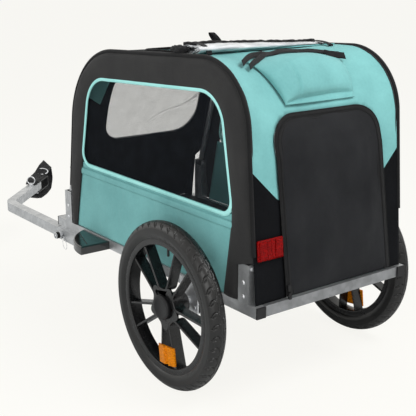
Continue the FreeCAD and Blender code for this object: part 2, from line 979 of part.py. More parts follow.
flap_near = far + d.flap_gap
flap_half = d.flap_width / 2
flap_room = block(
    (at(-FAR), -flap_half, d.roof_height - d.flap_drop),
    (at(FAR), flap_half, 2 * d.roof_height),
)
flap_shell = strip(rear_path, flap_near, flap_near + d.flap_cloth, half_tunnel).common(flap_room)
flap_hem = round_hem(
    in_side(on_roof(rear_split, flap_near + d.flap_cloth / 2), -flap_half),
    d.flap_cloth,
    d.flap_width,
)
node("roof_flap", solid("flap_cloth_made", flap_shell.fuse(flap_hem).removeSplitter()))


# Rolled rain cover with its straps, and the rear reflector

roll_x = d.rain_roll_centre
roof_here = on_roof(roll_x, far)[1]
roll_high = d.rain_roll_radius * d.rain_roll_squash
roll_seat = 0.3
roll_z = roof_here + roll_high + roll_seat
roll_y = d.rain_roll_offset - d.rain_roll_length / 2


def oval(name, wide, high, length, y):
    edge = Part.Ellipse(Vector(0, 0, 0), float(wide), float(high)).toShape()
    shape = Part.Face(Part.Wire(edge)).extrude(Vector(0, 0, float(length)))
    item = solid(name, shape)
    item.Placement = Placement(Vector(at(roll_x), y + length, roll_z), Rotation(Vector(1, 0, 0), 90))
    return item


node("rain_cover_roll", oval("rain_roll", d.rain_roll_radius, roll_high, d.rain_roll_length, roll_y))


def roof_strap(name, y):
    """A webbing loop that holds the roll down on the roof."""
    gap = d.webbing_gap
    thick = d.strap_cloth
    loop = oval(name + "_loop", d.rain_roll_radius + gap + thick, roll_high + gap + thick, d.strap_width, y)
    bore = oval(name + "_bore", d.rain_roll_radius + gap, roll_high + gap, d.strap_width, y)
    under = solid(name + "_under", block((at(-FAR), -FAR, 0), (at(FAR), FAR, roll_z)))
    return cut(name, loop, bore, under)


def strap_tab(name, y, toward):
    """The strap's end sewn flat on the roof beside the roll."""
    edge = roll_x + toward * (d.rain_roll_radius + d.webbing_gap + d.strap_cloth)
    low = min(edge, edge - toward * d.strap_cloth)
    foot = on_roof(low + d.strap_cloth, far)[1]
    shape = block((at(low), y, foot + d.webbing_gap), (at(low) + d.strap_cloth, y + d.strap_width, roll_z))
    return solid(name, shape)


straps = []
for index, side in enumerate((-1, 1)):
    y = d.rain_roll_offset + side * d.strap_spacing / 2 - d.strap_width / 2
    straps.append(
        join(
            f"roof_strap_{index}",
            roof_strap(f"strap_{index}", y),
            strap_tab(f"strap_{index}_front", y, 1),
            strap_tab(f"strap_{index}_rear", y, -1),
        )
    )
node("roof_straps", group("straps", *straps))

reflector_lean = math.degrees(math.atan(d.side_rear_lean))
low_z = d.reflector_rise - d.reflector_height / 2
rear_here = side_corners(far + 0.0, low_z)[3][0]
node(
    "rear_reflector",
    box(
        "reflector_lens",
        (d.reflector_depth, d.reflector_width, d.reflector_height),
        (
            at(rear_here) - d.reflector_depth * math.cos(math.radians(reflector_lean)),
            d.reflector_side - d.reflector_width / 2,
            low_z + d.reflector_depth * math.sin(math.radians(reflector_lean)),
        ),
        Rotation(Vector(0, 1, 0), reflector_lean),
    ),
)


# Wheel guards

guard_reach = rail_outer + d.guard_reach
guard_length = d.guard_front - d.guard_rear
guard_points = [
    Vector(at(d.guard_front), rail_outer, d.rail_height),
    Vector(at(d.guard_rear), rail_outer, d.rail_height),
    Vector(at(d.guard_rear), guard_reach, d.rail_height),
    Vector(at(d.guard_rear + guard_length * 0.68), rail_outer + d.guard_reach * 0.64, d.rail_height),
]
guard_edges = [
    Part.LineSegment(guard_points[0], guard_points[1]).toShape(),
    Part.LineSegment(guard_points[1], guard_points[2]).toShape(),
    Part.Arc(guard_points[2], guard_points[3], guard_points[0]).toShape(),
]
guard_body = prism(guard_edges, Vector(0, 0, d.guard_height))
guard_top = [
    edge
    for edge in guard_body.Edges
    if edge.BoundBox.ZMin > d.rail_height + d.guard_height - 1 and edge.BoundBox.YMax > rail_outer + 1
]
guard = solid("left_guard", guard_body.makeFillet(min(d.guard_fillet, d.guard_height / 3), guard_top))
node("left_wheel_guard", guard)
node("right_wheel_guard", mirror("right_guard", guard))


# Wheels

wheel_spot = (at(0), wheel_y, d.wheel_radius)
tube_radius = (d.wheel_radius - d.tyre_wall - d.rim_radius) / 2 - d.side_gap
tube_ring = d.rim_radius + tube_radius + d.side_gap


def on_wheel(item):
    return place(item, wheel_spot)


def tyre():
    ring = d.wheel_radius - d.tyre_width / 2
    outside = torus("tyre_outside", ring, d.tyre_width / 2, (0, 0, 0), "y")
    inside = torus("tyre_inside", ring, d.tyre_width / 2 - d.tyre_wall, (0, 0, 0), "y")
    seat = rod("tyre_seat", d.rim_radius, d.tyre_width, (0, -d.tyre_width / 2, 0), "y")
    return on_wheel(cut("left_tyre_made", outside, inside, seat))


def inner_tube():
    outside = torus("tube_outside", tube_ring, tube_radius, (0, 0, 0), "y")
    inside = torus("tube_inside", tube_ring, tube_radius - d.tube_wall, (0, 0, 0), "y")
    valve = rod(
        "valve",
        d.valve_radius,
        d.valve_length,
        (0, 0, d.rim_radius + d.side_gap + d.tube_wall - d.valve_length),
        "z",
    )
    return on_wheel(join("left_tube_made", cut("tube_shell", outside, inside), valve))


def spoke(index, side):
    """One rib of a pair: close together at the hub and spread at the rim."""
    turn = d.spoke_turn + 360 / SPOKE_PAIRS * index
    root = Vector(d.hub_radius - d.bearing_width / 2, 0, side * d.spoke_root_spread / 2)
    tip = Vector(d.rim_radius - d.rim_depth / 2, 0, side * d.spoke_tip_spread / 2)
    run = tip - root
    made = box(
        f"spoke_{index}_{'a' if side < 0 else 'b'}",
        (Size(run.Length, formula_of(run.Length)), d.spoke_width, d.spoke_thickness),
        (0, 0, 0),
    )
    lean = math.degrees(math.atan2(-run.z, run.x))
    rib = Placement(root, Rotation(Vector(0, 1, 0), lean))
    centred = Placement(Vector(0, -d.spoke_width / 2, -d.spoke_thickness / 2), Rotation())
    made.setExpression("Placement.Base.x", None)
    made.setExpression("Placement.Base.y", None)
    made.setExpression("Placement.Base.z", None)
    made.Placement = Placement(Vector(), Rotation(Vector(0, 1, 0), turn)) * rib * centred
    return made


def hub():
    inside, outside = -d.hub_inside, d.hub_outside
    return turned(
        "hub",
        [
            (d.bearing_radius, inside),
            (d.hub_radius, inside),
            (d.hub_radius, outside),
            (d.bearing_radius, outside),
            (d.bearing_radius, outside - d.bearing_width),
            (d.hub_bore_radius, outside - d.bearing_width),
            (d.hub_bore_radius, inside + d.bearing_width),
            (d.bearing_radius, inside + d.bearing_width),
        ],
    )


def hub_flange():
    half = d.hub_flange_width / 2
    seat = (d.bearing_radius + d.hub_radius) / 2
    disc = turned(
        "hub_flange",
        [
            (seat, -half),
            (d.hub_flange_radius, -half),
            (d.hub_flange_radius, half),
            (seat, half),
        ],
    )
    scallops = []
    for index in range(SPOKE_PAIRS):
        turn = math.radians(d.spoke_turn + 360 / SPOKE_PAIRS * (index + 0.5))
        middle = d.hub_flange_radius + d.scallop_radius / 2
        spot = (middle * math.cos(turn), -half, -middle * math.sin(turn))
        scallops.append(rod(f"scallop_{index}", d.scallop_radius, half * 2, spot, "y"))
    return cut("hub_star", disc, *scallops)


def moulded_wheel():
    half = d.rim_width / 2
    floor = d.rim_radius - d.rim_depth
    ring = turned("rim_ring", [(floor, -half), (d.rim_radius, -half), (d.rim_radius, half), (floor, half)])
    ribs = [spoke(index, side) for index in range(SPOKE_PAIRS) for side in (-1, 1)]
    valve_hole = rod("valve_hole", d.valve_radius + d.side_gap, d.rim_radius, (0, 0, d.hub_radius * 2), "z")
    spokes = cut("spoke_ring", join("wheel_blank", ring, hub_flange(), *ribs), valve_hole)
    return on_wheel(join("left_wheel_made", hub(), spokes))


def bearings():
    rings = []
    for name, start in (("inner", -d.hub_inside), ("outer", d.hub_outside - d.bearing_width)):
        end = start + d.bearing_width
        ring = turned(
            f"{name}_bearing",
            [(axle_hole, start), (d.bearing_radius, start), (d.bearing_radius, end), (axle_hole, end)],
        )
        rings.append(on_wheel(ring))
    return group("left_bearing_pair", *rings)


def hub_cap():
    """A shallow cap with room inside for the axle nut."""
    base = d.hub_outside
    top = base + d.hub_cap_height
    room = d.axle_head_radius + d.hub_cap_wall / 2
    return on_wheel(
        turned(
            "left_cap_made",
            [
                (room, base),
                (d.hub_cap_radius, base),
                (d.hub_cap_radius, top - d.hub_cap_wall),
                (d.hub_cap_radius - d.hub_cap_wall, top),
                (0, top),
                (0, top - d.hub_cap_wall),
                (room, top - d.hub_cap_wall),
            ],
        )
    )


def spoke_reflector():
    """A clip-on lens across the lowest pair of spokes."""
    wide, tall, deep = d.spoke_reflector_width, d.spoke_reflector_height, d.spoke_reflector_depth
    turn = Rotation(Vector(0, 1, 0), d.spoke_turn + 72)
    start = d.rim_radius - d.rim_depth - tall - d.hub_cap_wall
    lens = Part.makeBox(tall, deep, wide, Vector(start, d.spoke_width / 2, -wide / 2))
    item = solid("left_lens", lens)
    item.Placement = Placement(Vector(*wheel_spot), turn)
    return item


left_wheel_nodes = {
    "tyre": tyre(),
    "inner_tube": inner_tube(),
    "wheel": moulded_wheel(),
    "hub_bearings": bearings(),
    "hub_cap": hub_cap(),
    "spoke_reflector": spoke_reflector(),
}
for name, item in left_wheel_nodes.items():
    node(f"left_{name}", item)
    node(f"right_{name}", mirror(f"right_{name}_made", item))


# Tow arm and its receiver

receiver_length = d.receiver_front - d.receiver_rear
side_gap_y = d.arm_size / 2 + d.arm_gap
receiver_low = arm_z - d.receiver_drop
side_height = arm_top + d.arm_gap - receiver_low
receiver_walls = [
    box(
        "receiver_top",
        (receiver_length, (side_gap_y + d.receiver_side_wall) * 2, d.receiver_wall),
        (at(d.receiver_rear), arm_y - side_gap_y - d.receiver_side_wall, arm_top + d.arm_gap),
    )
]
for name, y in (("inner", arm_y - side_gap_y - d.receiver_side_wall), ("outer", arm_y + side_gap_y)):
    receiver_walls.append(
        box(
            f"receiver_{name}",
            (receiver_length, d.receiver_side_wall, side_height),
            (at(d.receiver_rear), y, receiver_low),
        )
    )
full_width = (side_gap_y + d.receiver_side_wall) * 2
receiver_y = arm_y - full_width / 2
slot_radius = d.lock_pin_radius + d.lock_pin_slack
receiver = cut(
    "receiver_made",
    join("receiver_walls", *receiver_walls),
    rod(
        "receiver_pivot_hole",
        d.arm_bolt_radius + d.running_gap,
        full_width,
        (at(d.arm_pivot), receiver_y, arm_z),
        "y",
    ),
    rod("lock_slot_top", slot_radius, full_width, (at(d.lock_pin), receiver_y, arm_z), "y"),
    box(
        "lock_slot",
        (slot_radius * 2 + d.lock_slot_relief, full_width, d.receiver_drop),
        (at(d.lock_pin) - slot_radius - d.lock_slot_relief, receiver_y, receiver_low),
    ),
)
node("tow_receiver", receiver)

head = d.bolt_head_height
pivot_bolt = join(
    "arm_pivot_bolt",
    rod(
        "arm_bolt_shank",
        d.arm_bolt_radius,
        full_width + head * 2,
        (at(d.arm_pivot), receiver_y - head, arm_z),
        "y",
    ),
    rod("arm_bolt_head", d.arm_bolt_radius * 1.8, head, (at(d.arm_pivot), receiver_y - head, arm_z), "y"),
    rod(
        "arm_bolt_nut",
        d.arm_bolt_radius * 1.8,
        head,
        (at(d.arm_pivot), receiver_y + full_width, arm_z),
        "y",
    ),
)
node("frame_fasteners", group("fasteners", *fasteners, pivot_bolt))

corner_point = Vector(at(d.arm_corner), arm_y, arm_z)
arm_end = corner_point + TAIL * d.arm_tail
arm_start = Vector(at(d.arm_pivot), arm_y, arm_z)


def square_section(size):
    half = size / 2
    corners = [(-half, -half), (half, -half), (half, half), (-half, half), (-half, -half)]
    return Part.makePolygon([arm_start + Vector(0, y, z) for y, z in corners])


def on_tail(back, z):
    """A point on the arm's bent end, measured back from its tip."""
    spot = arm_end - TAIL * back
    return (spot.x, spot.y, z)


arm_path = rounded([arm_start, corner_point, arm_end], [0, d.arm_bend, 0])
arm_outside = pipe(arm_path, square_section(d.arm_size))
arm_inside = pipe(arm_path, square_section(d.arm_size - d.arm_wall * 2))
arm_tube = arm_outside.cut(arm_inside)
end_round = Part.makeCylinder(
    d.arm_size / 2, d.arm_size, arm_start - Vector(0, d.arm_size / 2, 0), Vector(0, 1, 0)
)
arm_low = arm_z - d.arm_size / 2
arm_made = cut(
    "arm_made",
    solid("arm_blank", arm_tube.fuse(end_round)),
    rod(
        "arm_pivot_hole",
        d.arm_bolt_radius + d.running_gap,
        d.arm_size,
        (at(d.arm_pivot), arm_y - d.arm_size / 2, arm_z),
        "y",
    ),
    rod(
        "arm_lock_hole",
        d.lock_pin_radius + d.running_gap,
        d.arm_size,
        (at(d.lock_pin), arm_y - d.arm_size / 2, arm_z),
        "y",
    ),
    rod(
        "arm_hitch_hole",
        d.hitch_bolt_radius + d.running_gap,
        d.arm_size,
        on_tail(d.hitch_bolt_back, arm_low),
        "z",
    ),
    rod(
        "arm_pin_hole",
        d.hitch_pin_radius + d.running_gap,
        d.arm_size,
        on_tail(d.hitch_pin_back, arm_low),
        "z",
    ),
)
node("tow_arm", arm_made)

pin_inner = receiver_y - 2 * d.lock_pin_slack
pin_outer = receiver_y + full_width + d.knob_stand_off
node(
    "tow_lock_pin",
    join(
        "lock_pin_made",
        rod(
            "lock_pin_shank",
            d.lock_pin_radius,
            pin_outer - pin_inner,
            (at(d.lock_pin), pin_inner, arm_z),
            "y",
        ),
        rod("lock_pin_knob", d.knob_radius, d.knob_length, (at(d.lock_pin), pin_outer, arm_z), "y"),
    ),
)


# Hitch at the arm's tip

def along_tail(points, radii, width):
    """A plate across the arm's bent end from (reach, z) points, centred on it."""
    spots = [arm_end + TAIL * reach + Vector(0, 0, z - arm_z) - ACROSS * (width / 2) for reach, z in points]
    return prism(rounded(spots, radii, closed=True), ACROSS * width)


yoke_inner = d.arm_size / 2 + d.yoke_gap
yoke_outer = yoke_inner + d.yoke_wall
yoke_points = [
    (-d.hitch_bolt_back - d.yoke_back, arm_z + yoke_outer),
    (d.yoke_reach, arm_z + yoke_outer),
    (d.yoke_reach, arm_z - yoke_outer),
    (-d.hitch_bolt_back - d.yoke_back, arm_z - yoke_outer),
    (-d.hitch_bolt_back - d.yoke_back, arm_z - yoke_inner),
    (d.yoke_reach - d.yoke_wall, arm_z - yoke_inner),
    (d.yoke_reach - d.yoke_wall, arm_z + yoke_inner),
    (-d.hitch_bolt_back - d.yoke_back, arm_z + yoke_inner),
]
yoke_bend = d.yoke_wall * 1.75
yoke_radii = [0, yoke_bend, yoke_bend, 0, 0, yoke_bend - d.yoke_wall, yoke_bend - d.yoke_wall, 0]
yoke_low = arm_z - yoke_outer
node(
    "hitch_yoke",
    cut(
        "yoke_made",
        solid("yoke_blank", along_tail(yoke_points, yoke_radii, d.yoke_width)),
        rod(
            "yoke_bolt_hole",
            d.hitch_bolt_radius + d.running_gap,
            yoke_outer * 2,
            on_tail(d.hitch_bolt_back, yoke_low),
            "z",
        ),
        rod("yoke_pin_bore", d.yoke_bore_radius, yoke_outer * 2, on_tail(-d.yoke_bore_reach, yoke_low), "z"),
    ),
)


def webbing(name, points, radii):
    """A strap of webbing with a hole for the hitch bolt, from (reach, z) points of its lower face."""
    def raised(lift):
        spots = [
            arm_end + TAIL * reach + Vector(0, 0, z + lift - arm_z) - ACROSS * (d.webbing_width / 2)
            for reach, z in points
        ]
        return rounded(spots, radii)

    lower, upper = raised(0), raised(d.webbing_cloth)
    ends = [
        Part.LineSegment(lower[0].firstVertex(True).Point, upper[0].firstVertex(True).Point).toShape(),
        Part.LineSegment(lower[-1].lastVertex(True).Point, upper[-1].lastVertex(True).Point).toShape(),
    ]
    edges = Part.sortEdges(lower + upper + ends)[0]
    strap = solid(name + "_blank", prism(edges, ACROSS * d.webbing_width))
    hole = rod(
        name + "_hole",
        d.hitch_bolt_radius + d.running_gap,
        d.webbing_rise * 2,
        on_tail(d.hitch_bolt_back, points[0][1] - d.webbing_rise),
        "z",
    )
    return cut(name, strap, hole)


strap_low = arm_z + yoke_outer + d.webbing_gap
strap_under = arm_z - yoke_outer - d.webbing_gap - d.webbing_cloth
strap_back = -d.hitch_bolt_back - d.webbing_width / 2
webbing_bend = d.webbing_width
node(
    "safety_strap",
    group(
        "strap_halves",
        webbing(
            "strap_over",
            [
                (strap_back, strap_low),
                (0, strap_low),
                (d.webbing_reach, strap_low + d.webbing_rise),
            ],
            [0, webbing_bend, 0],
        ),
        webbing(
            "strap_under",
            [
                (d.hitch_bolt_back / 3, strap_under),
                (strap_back, strap_under),
                (-d.webbing_tail, strap_under - d.webbing_drop),
            ],
            [0, webbing_bend, 0],
        ),
    ),
)

bolt_low = strap_under - d.hitch_head_height
bolt_high = strap_low + d.webbing_cloth + d.hitch_head_height
node(
    "hitch_bolt",
    join(
        "hitch_bolt_made",
        rod(
            "hitch_shank",
            d.hitch_bolt_radius,
            bolt_high - bolt_low,
            on_tail(d.hitch_bolt_back, bolt_low),
            "z",
        ),
        rod(
            "hitch_head",
            d.hitch_head_radius,
            d.hitch_head_height,
            on_tail(d.hitch_bolt_back, bolt_high - d.hitch_head_height),
            "z",
        ),
        rod("hitch_nut", d.hitch_head_radius, d.hitch_head_height, on_tail(d.hitch_bolt_back, bolt_low), "z"),
    ),
)

pin_low = arm_low - d.hitch_pin_below
pin_seat = arm_top + d.webbing_gap
pin_top = pin_seat + d.hitch_pin_head
node(
    "hitch_pin",
    join(
        "hitch_pin_made",
        rod("pin_shank", d.hitch_pin_radius, pin_top - pin_low, on_tail(d.hitch_pin_back, pin_low), "z"),
        rod("pin_head", d.hitch_pin_head, d.hitch_pin_head, on_tail(d.hitch_pin_back, pin_seat), "z"),
        torus(
            "pin_ring",
            d.hitch_ring_radius,
            d.hitch_ring_wire,
            on_tail(d.hitch_pin_back, pin_top + d.hitch_ring_radius - d.hitch_ring_wire * 2.2),
            TAIL,
        ),
    ),
)


# Checks, then one file for each piece

doc.recompute()
for item in doc.Objects:
    if "Invalid" in item.State or "Error" in item.State:
        raise RuntimeError(f"{item.Label} did not build: {item.State}")
for label, item in nodes.items():
    shape = item.Shape
    if shape.isNull() or not shape.isValid() or not shape.Solids:
        raise RuntimeError(f"{label} has no valid solid")

os.makedirs("parts", exist_ok=True)
for label, item in nodes.items():
    item.Shape.exportStep(f"parts/{label}.step")
print(len(nodes), "nodes")
for name, length in (("axle_x", axle_x), ("hoop_y", hoop_y), ("arm_y", arm_y), ("arm_z", arm_z)):
    print(name, round(float(length), 3))
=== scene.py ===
import json
from bisect import bisect_right
from math import atan, copysign, cos, exp, hypot, pi, radians, sin, tan

import bmesh
import bpy
from mathutils import Matrix, Vector, noise


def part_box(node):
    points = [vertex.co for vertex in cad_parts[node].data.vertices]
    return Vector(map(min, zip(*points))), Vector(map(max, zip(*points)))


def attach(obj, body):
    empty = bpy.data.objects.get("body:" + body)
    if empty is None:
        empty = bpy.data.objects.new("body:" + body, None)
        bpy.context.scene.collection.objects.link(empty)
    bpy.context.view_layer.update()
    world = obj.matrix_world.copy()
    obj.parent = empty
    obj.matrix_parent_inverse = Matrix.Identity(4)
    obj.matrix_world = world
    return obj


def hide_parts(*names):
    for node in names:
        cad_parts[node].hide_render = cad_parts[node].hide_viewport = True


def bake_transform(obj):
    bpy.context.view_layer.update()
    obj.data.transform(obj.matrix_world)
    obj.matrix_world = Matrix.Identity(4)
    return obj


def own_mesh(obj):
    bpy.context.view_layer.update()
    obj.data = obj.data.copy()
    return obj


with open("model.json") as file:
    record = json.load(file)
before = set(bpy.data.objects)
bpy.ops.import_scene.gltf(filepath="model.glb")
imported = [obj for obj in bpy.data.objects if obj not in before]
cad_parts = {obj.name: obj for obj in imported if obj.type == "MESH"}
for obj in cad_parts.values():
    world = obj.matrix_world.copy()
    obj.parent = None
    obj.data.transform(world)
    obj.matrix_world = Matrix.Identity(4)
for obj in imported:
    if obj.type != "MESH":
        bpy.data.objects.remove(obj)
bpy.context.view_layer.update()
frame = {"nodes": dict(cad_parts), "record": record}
nodes = frame["nodes"]

# Lengths in metres; x is measured from the wheel axle and moved into the shared frame by along()
AXLE_X = -0.497522
RAIL_TOP = 0.255
FRAME_SIDE = 0.2345
CLOTH_Y, CLOTH_HALF, CLOTH_WIDE = 0.2318, 0.2280, 0.466
HINGE_Z = {"left": 0.333, "right": 0.365}
SIDES = {"left": 1, "right": -1}
ROOF_Z, ROOF_FALL, ROOF_MARK, ON_ROOF = 0.766, 0.0486, 0.05, 0.7
FRONT_FOOT, FRONT_LEAN, FRONT_BEND = 0.580, 0.135, 0.22
FRONT_FLARE, FRONT_KINK, KINK_BEND = 0.630, 0.445, 0.06
REAR_FOOT, REAR_LEAN, REAR_BEND = 0.2265, 0.085, 0.15
BAND_FRONT, BAND_FRONT_LEAN, BAND_TOP = 0.05, 0.22, 0.070
BAND_REAR, BAND_REAR_LEAN, BAND_REAR_FOOT = 0.071, 0.18, 0.0985
SILL_Z = 0.44
DOOR_HALF, DOOR_TOP, DOOR_BEND = 0.156, 0.651, 0.062
WHEEL_Y, WHEEL_Z = 0.294, 0.2
ARM_Y, ARM_Z, ARM_CORNER, ARM_TAIL = 0.230, 0.213, 0.975, 0.268

# The camera that was fitted to the photo
CAMERA_X, CAMERA_Y, CAMERA_Z = -1.5631, 1.372, 0.9648
YAW, PITCH, ROLL = -0.651, -0.2731, 0.0028
FOCAL_PIXELS, PICTURE_PIXELS, SENSOR = 882.654, 416, 36
BACK_WHITE, SKY_WHITE, FLOOR_GREY = (0.99, 0.98, 0.94, 1), (0.96, 0.98, 1, 1), (0.86, 0.86, 0.84, 1)
SKY_STRENGTH, FLOOR_GLOW = 0.50, 0.9


def along(x):
    return AXLE_X + x


# Shader nodes

def feed(tree, node, **sockets):
    """Fills a node's sockets; each takes a number, a colour or another node's output."""
    for name, value in sockets.items():
        key = int(name[1:]) if name[0] == "i" and name[1:].isdigit() else name.replace("_", " ")
        if isinstance(value, bpy.types.NodeSocket):
            tree.links.new(value, node.inputs[key])
        else:
            node.inputs[key].default_value = value
    return node


def wire(tree, kind, settings=(), **sockets):
    """One new shader node with its settings and sockets."""
    made = tree.nodes.new("ShaderNode" + kind)
    for name, value in dict(settings).items():
        setattr(made, name, value)
    return feed(tree, made, **sockets)


def sums(tree, how, first, second):
    return wire(tree, "Math", {"operation": how}, i0=first, i1=second).outputs[0]


def seen_by(tree, *rays):
    """One for these kinds of ray and zero for the others."""
    path = wire(tree, "LightPath")
    seen = path.outputs[rays[0]]
    for ray in rays[1:]:
        seen = sums(tree, "MAXIMUM", seen, path.outputs[ray])
    return seen


# Camera, light and floor

def look():
    camera = bpy.data.objects.new("camera", bpy.data.cameras.new("camera"))
    bpy.context.scene.collection.objects.link(camera)
    camera.data.sensor_width = SENSOR
    camera.data.lens = SENSOR * FOCAL_PIXELS / PICTURE_PIXELS
    camera.data.clip_start, camera.data.clip_end = 0.05, 50
    ahead = Vector((cos(PITCH) * cos(YAW), cos(PITCH) * sin(YAW), sin(PITCH)))
    aside = Vector((sin(YAW), -cos(YAW), 0))
    up = aside.cross(ahead)
    right = aside * cos(ROLL) + up * sin(ROLL)
    top = up * cos(ROLL) - aside * sin(ROLL)
    turn = Matrix((right, top, -ahead)).transposed().to_4x4()
    camera.matrix_world = Matrix.Translation((along(CAMERA_X), CAMERA_Y, CAMERA_Z)) @ turn
    bpy.context.scene.camera = camera


def lamp(name, spot, aim, size, power):
    light = bpy.data.lights.new(name, "AREA")
    light.size, light.energy = size, power
    item = bpy.data.objects.new(name, light)
    item.location = spot
    item.rotation_euler = (Vector(aim) - Vector(spot)).to_track_quat("-Z", "Y").to_euler()
    bpy.context.scene.collection.objects.link(item)


def studio():
    """A soft sky that looks white, and three lamps."""
    scene = bpy.context.scene
    scene.view_settings.view_transform = "Standard"
    scene.world = bpy.data.worlds.new("studio")
    scene.world.use_nodes = True
    tree = scene.world.node_tree
    tree.nodes.clear()
    seen = seen_by(tree, "Is Camera Ray", "Is Transmission Ray", "Is Glossy Ray")
    sky = wire(tree, "Background", Color=SKY_WHITE, Strength=SKY_STRENGTH)
    back = wire(tree, "Background", Color=BACK_WHITE, Strength=1)
    mix = wire(tree, "MixShader", i0=seen, i1=sky.outputs[0], i2=back.outputs[0])
    wire(tree, "OutputWorld", Surface=mix.outputs[0])
    lamp("key", (-2.3, -0.7, 3.2), (-0.4, 0, 0.45), 1.4, 78)
    lamp("fill", (-2.0, 2.6, 1.5), (-0.4, 0, 0.4), 2.0, 32)
    lamp("front", (2.2, 2.4, 2.4), (0, 0, 0.4), 2.0, 26)


def pale_floor():
    """A wide floor just under the tyres, nearly as white as the background."""
    floor = bpy.data.objects.new("floor", bpy.data.meshes.new("floor"))
    bm = bmesh.new()
    bmesh.ops.create_grid(bm, x_segments=1, y_segments=1, size=44)
    bm.to_mesh(floor.data)
    bm.free()
    floor.location.z = -0.0012
    bpy.context.scene.collection.objects.link(floor)
    paint = bpy.data.materials.new("pale floor")
    paint.use_nodes = True
    tree = paint.node_tree
    tree.nodes.clear()
    seen = sums(tree, "MULTIPLY", seen_by(tree, "Is Camera Ray", "Is Transmission Ray"), FLOOR_GLOW)
    flat = wire(tree, "Emission", Color=BACK_WHITE, Strength=1)
    matt = wire(tree, "BsdfDiffuse", Color=FLOOR_GREY)
    mix = wire(tree, "MixShader", i0=seen, i1=matt.outputs[0], i2=flat.outputs[0])
    wire(tree, "OutputMaterial", Surface=mix.outputs[0])
    floor.data.materials.append(paint)


# Finishes

class Paint:
    """A finish in the making; its patterns start from the place on the piece or from its UV map."""

    def __init__(self, name, **sockets):
        self.material = bpy.data.materials.new(name)
        self.material.use_nodes = True
        self.tree = self.material.node_tree
        self.shader = self.tree.nodes["Principled BSDF"]
        start = self.node("TexCoord")
        self.place, self.uv = start.outputs["Object"], start.outputs["UV"]
        self.done(**sockets)

    def node(self, kind, settings=(), **sockets):
        return wire(self.tree, kind, settings, **sockets)

    def done(self, **sockets):
        feed(self.tree, self.shader, **sockets)
        return self.material

    def sums(self, how, first, second):
        return sums(self.tree, how, first, second)

    def grain(self, scale, detail=3.0, roughness=0.5, place=None):
        source = self.place if place is None else place
        made = self.node("TexNoise", Vector=source, Scale=scale, Detail=detail, Roughness=roughness)
        return made.outputs["Fac"]

    def tint(self, factor, dark, light, low=0.3, high=0.7):
        ramp = self.node("ValToRGB", Fac=factor)
        for stop, position, colour in zip(ramp.color_ramp.elements, (low, high), (dark, light)):
            stop.position, stop.color = position, (*colour, 1)
        return ramp.outputs["Color"]

    def gloss(self, factor, low, high):
        return self.node("MapRange", Value=factor, To_Min=low, To_Max=high).outputs["Result"]

    def bump(self, height, strength, distance, **under):
        made = self.node("Bump", Height=height, Strength=strength, Distance=distance, **under)
        return made.outputs["Normal"]

    def threads(self, pitch):
        """Warp and weft of a plain weave on the piece's own UV map, which is in metres."""
        scale = 2 * pi / (20 * pitch)
        waves = [self.node("TexWave", {"bands_direction": way}, Vector=self.uv, Scale=scale) for way in "XY"]
        return [wave.outputs["Fac"] for wave in waves]


def woven(name, dark, light, pitch=0.0009, roughness=0.72, sheen=0.06, crease=0.5, shine=0.14):
    """Coated polyester: plain weave, soft creases and uneven dye."""
    paint = Paint(name, Roughness=roughness, Specular_IOR_Level=shine)
    paint.done(Sheen_Weight=sheen, Sheen_Roughness=0.5)
    warp, weft = paint.threads(pitch)
    dye = paint.sums("ADD", paint.grain(9, 4), paint.sums("MULTIPLY", paint.grain(160, 2), 0.25))
    weave = paint.bump(paint.sums("MULTIPLY", warp, weft), 0.35, 0.0003)
    soft = paint.bump(paint.grain(14, 3, 0.45), crease, 0.006, Normal=weave)
    fine = paint.bump(paint.grain(46, 2, 0.4), crease * 0.5, 0.0016, Normal=soft)
    return paint.done(Base_Color=paint.tint(dye, dark, light, 0.35, 0.9), Normal=fine)


def net(name, colour, solid, pitch=0.0016):
    """Knitted window net with see-through gaps; solid is how much of each thread's wave is closed."""
    paint = Paint(name, Roughness=0.8, Specular_IOR_Level=0.1)
    line = paint.sums("MAXIMUM", *paint.threads(pitch))
    shade = paint.tint(paint.grain(30), [c * 0.7 for c in colour], [c * 1.3 for c in colour])
    closed = paint.sums("GREATER_THAN", line, 1 - solid)
    return paint.done(Base_Color=shade, Alpha=closed, Normal=paint.bump(line, 0.4, 0.0004))


def moulded(name, dark, light, roughness=0.48, texture=900, depth=0.0002, shine=0.24):
    """Moulded plastic with a fine grain and slightly uneven gloss."""
    paint = Paint(name, Specular_IOR_Level=shine)
    gloss = paint.gloss(paint.grain(40, 4), roughness - 0.08, roughness + 0.12)
    relief = paint.bump(paint.grain(texture, 2), 0.3, depth)
    return paint.done(Base_Color=paint.tint(paint.grain(26, 4), dark, light), Roughness=gloss, Normal=relief)


def plated(name, dark, light, roughness, spangle):
    """Zinc-plated steel: faint crystal patches and dull spots."""
    paint = Paint(name, Metallic=0.82)
    cells = paint.node("TexVoronoi", Vector=paint.place, Scale=spangle).outputs["Color"]
    patch = paint.node("SeparateColor", Color=cells).outputs["Red"]
    dull = paint.sums("ADD", paint.sums("MULTIPLY", patch, 0.22), paint.grain(30, 4))
    gloss = paint.gloss(dull, roughness + 0.16, roughness - 0.06)
    relief = paint.bump(paint.grain(420, 2), 0.12, 0.0002)
    return paint.done(Base_Color=paint.tint(dull, dark, light, 0.35, 0.95), Roughness=gloss, Normal=relief)


def ribbed(name, dark, light, pitch=0.0016):
    """Narrow webbing: fine ribs along its length on its own UV map."""
    paint = Paint(name, Roughness=0.66, Specular_IOR_Level=0.14, Sheen_Weight=0.05)
    warp, weft = paint.threads(pitch)
    ribs = paint.sums("ADD", warp, paint.sums("MULTIPLY", weft, 0.5))
    shade = paint.tint(paint.grain(120), dark, light)
    return paint.done(Base_Color=shade, Normal=paint.bump(ribs, 0.55, 0.0006))


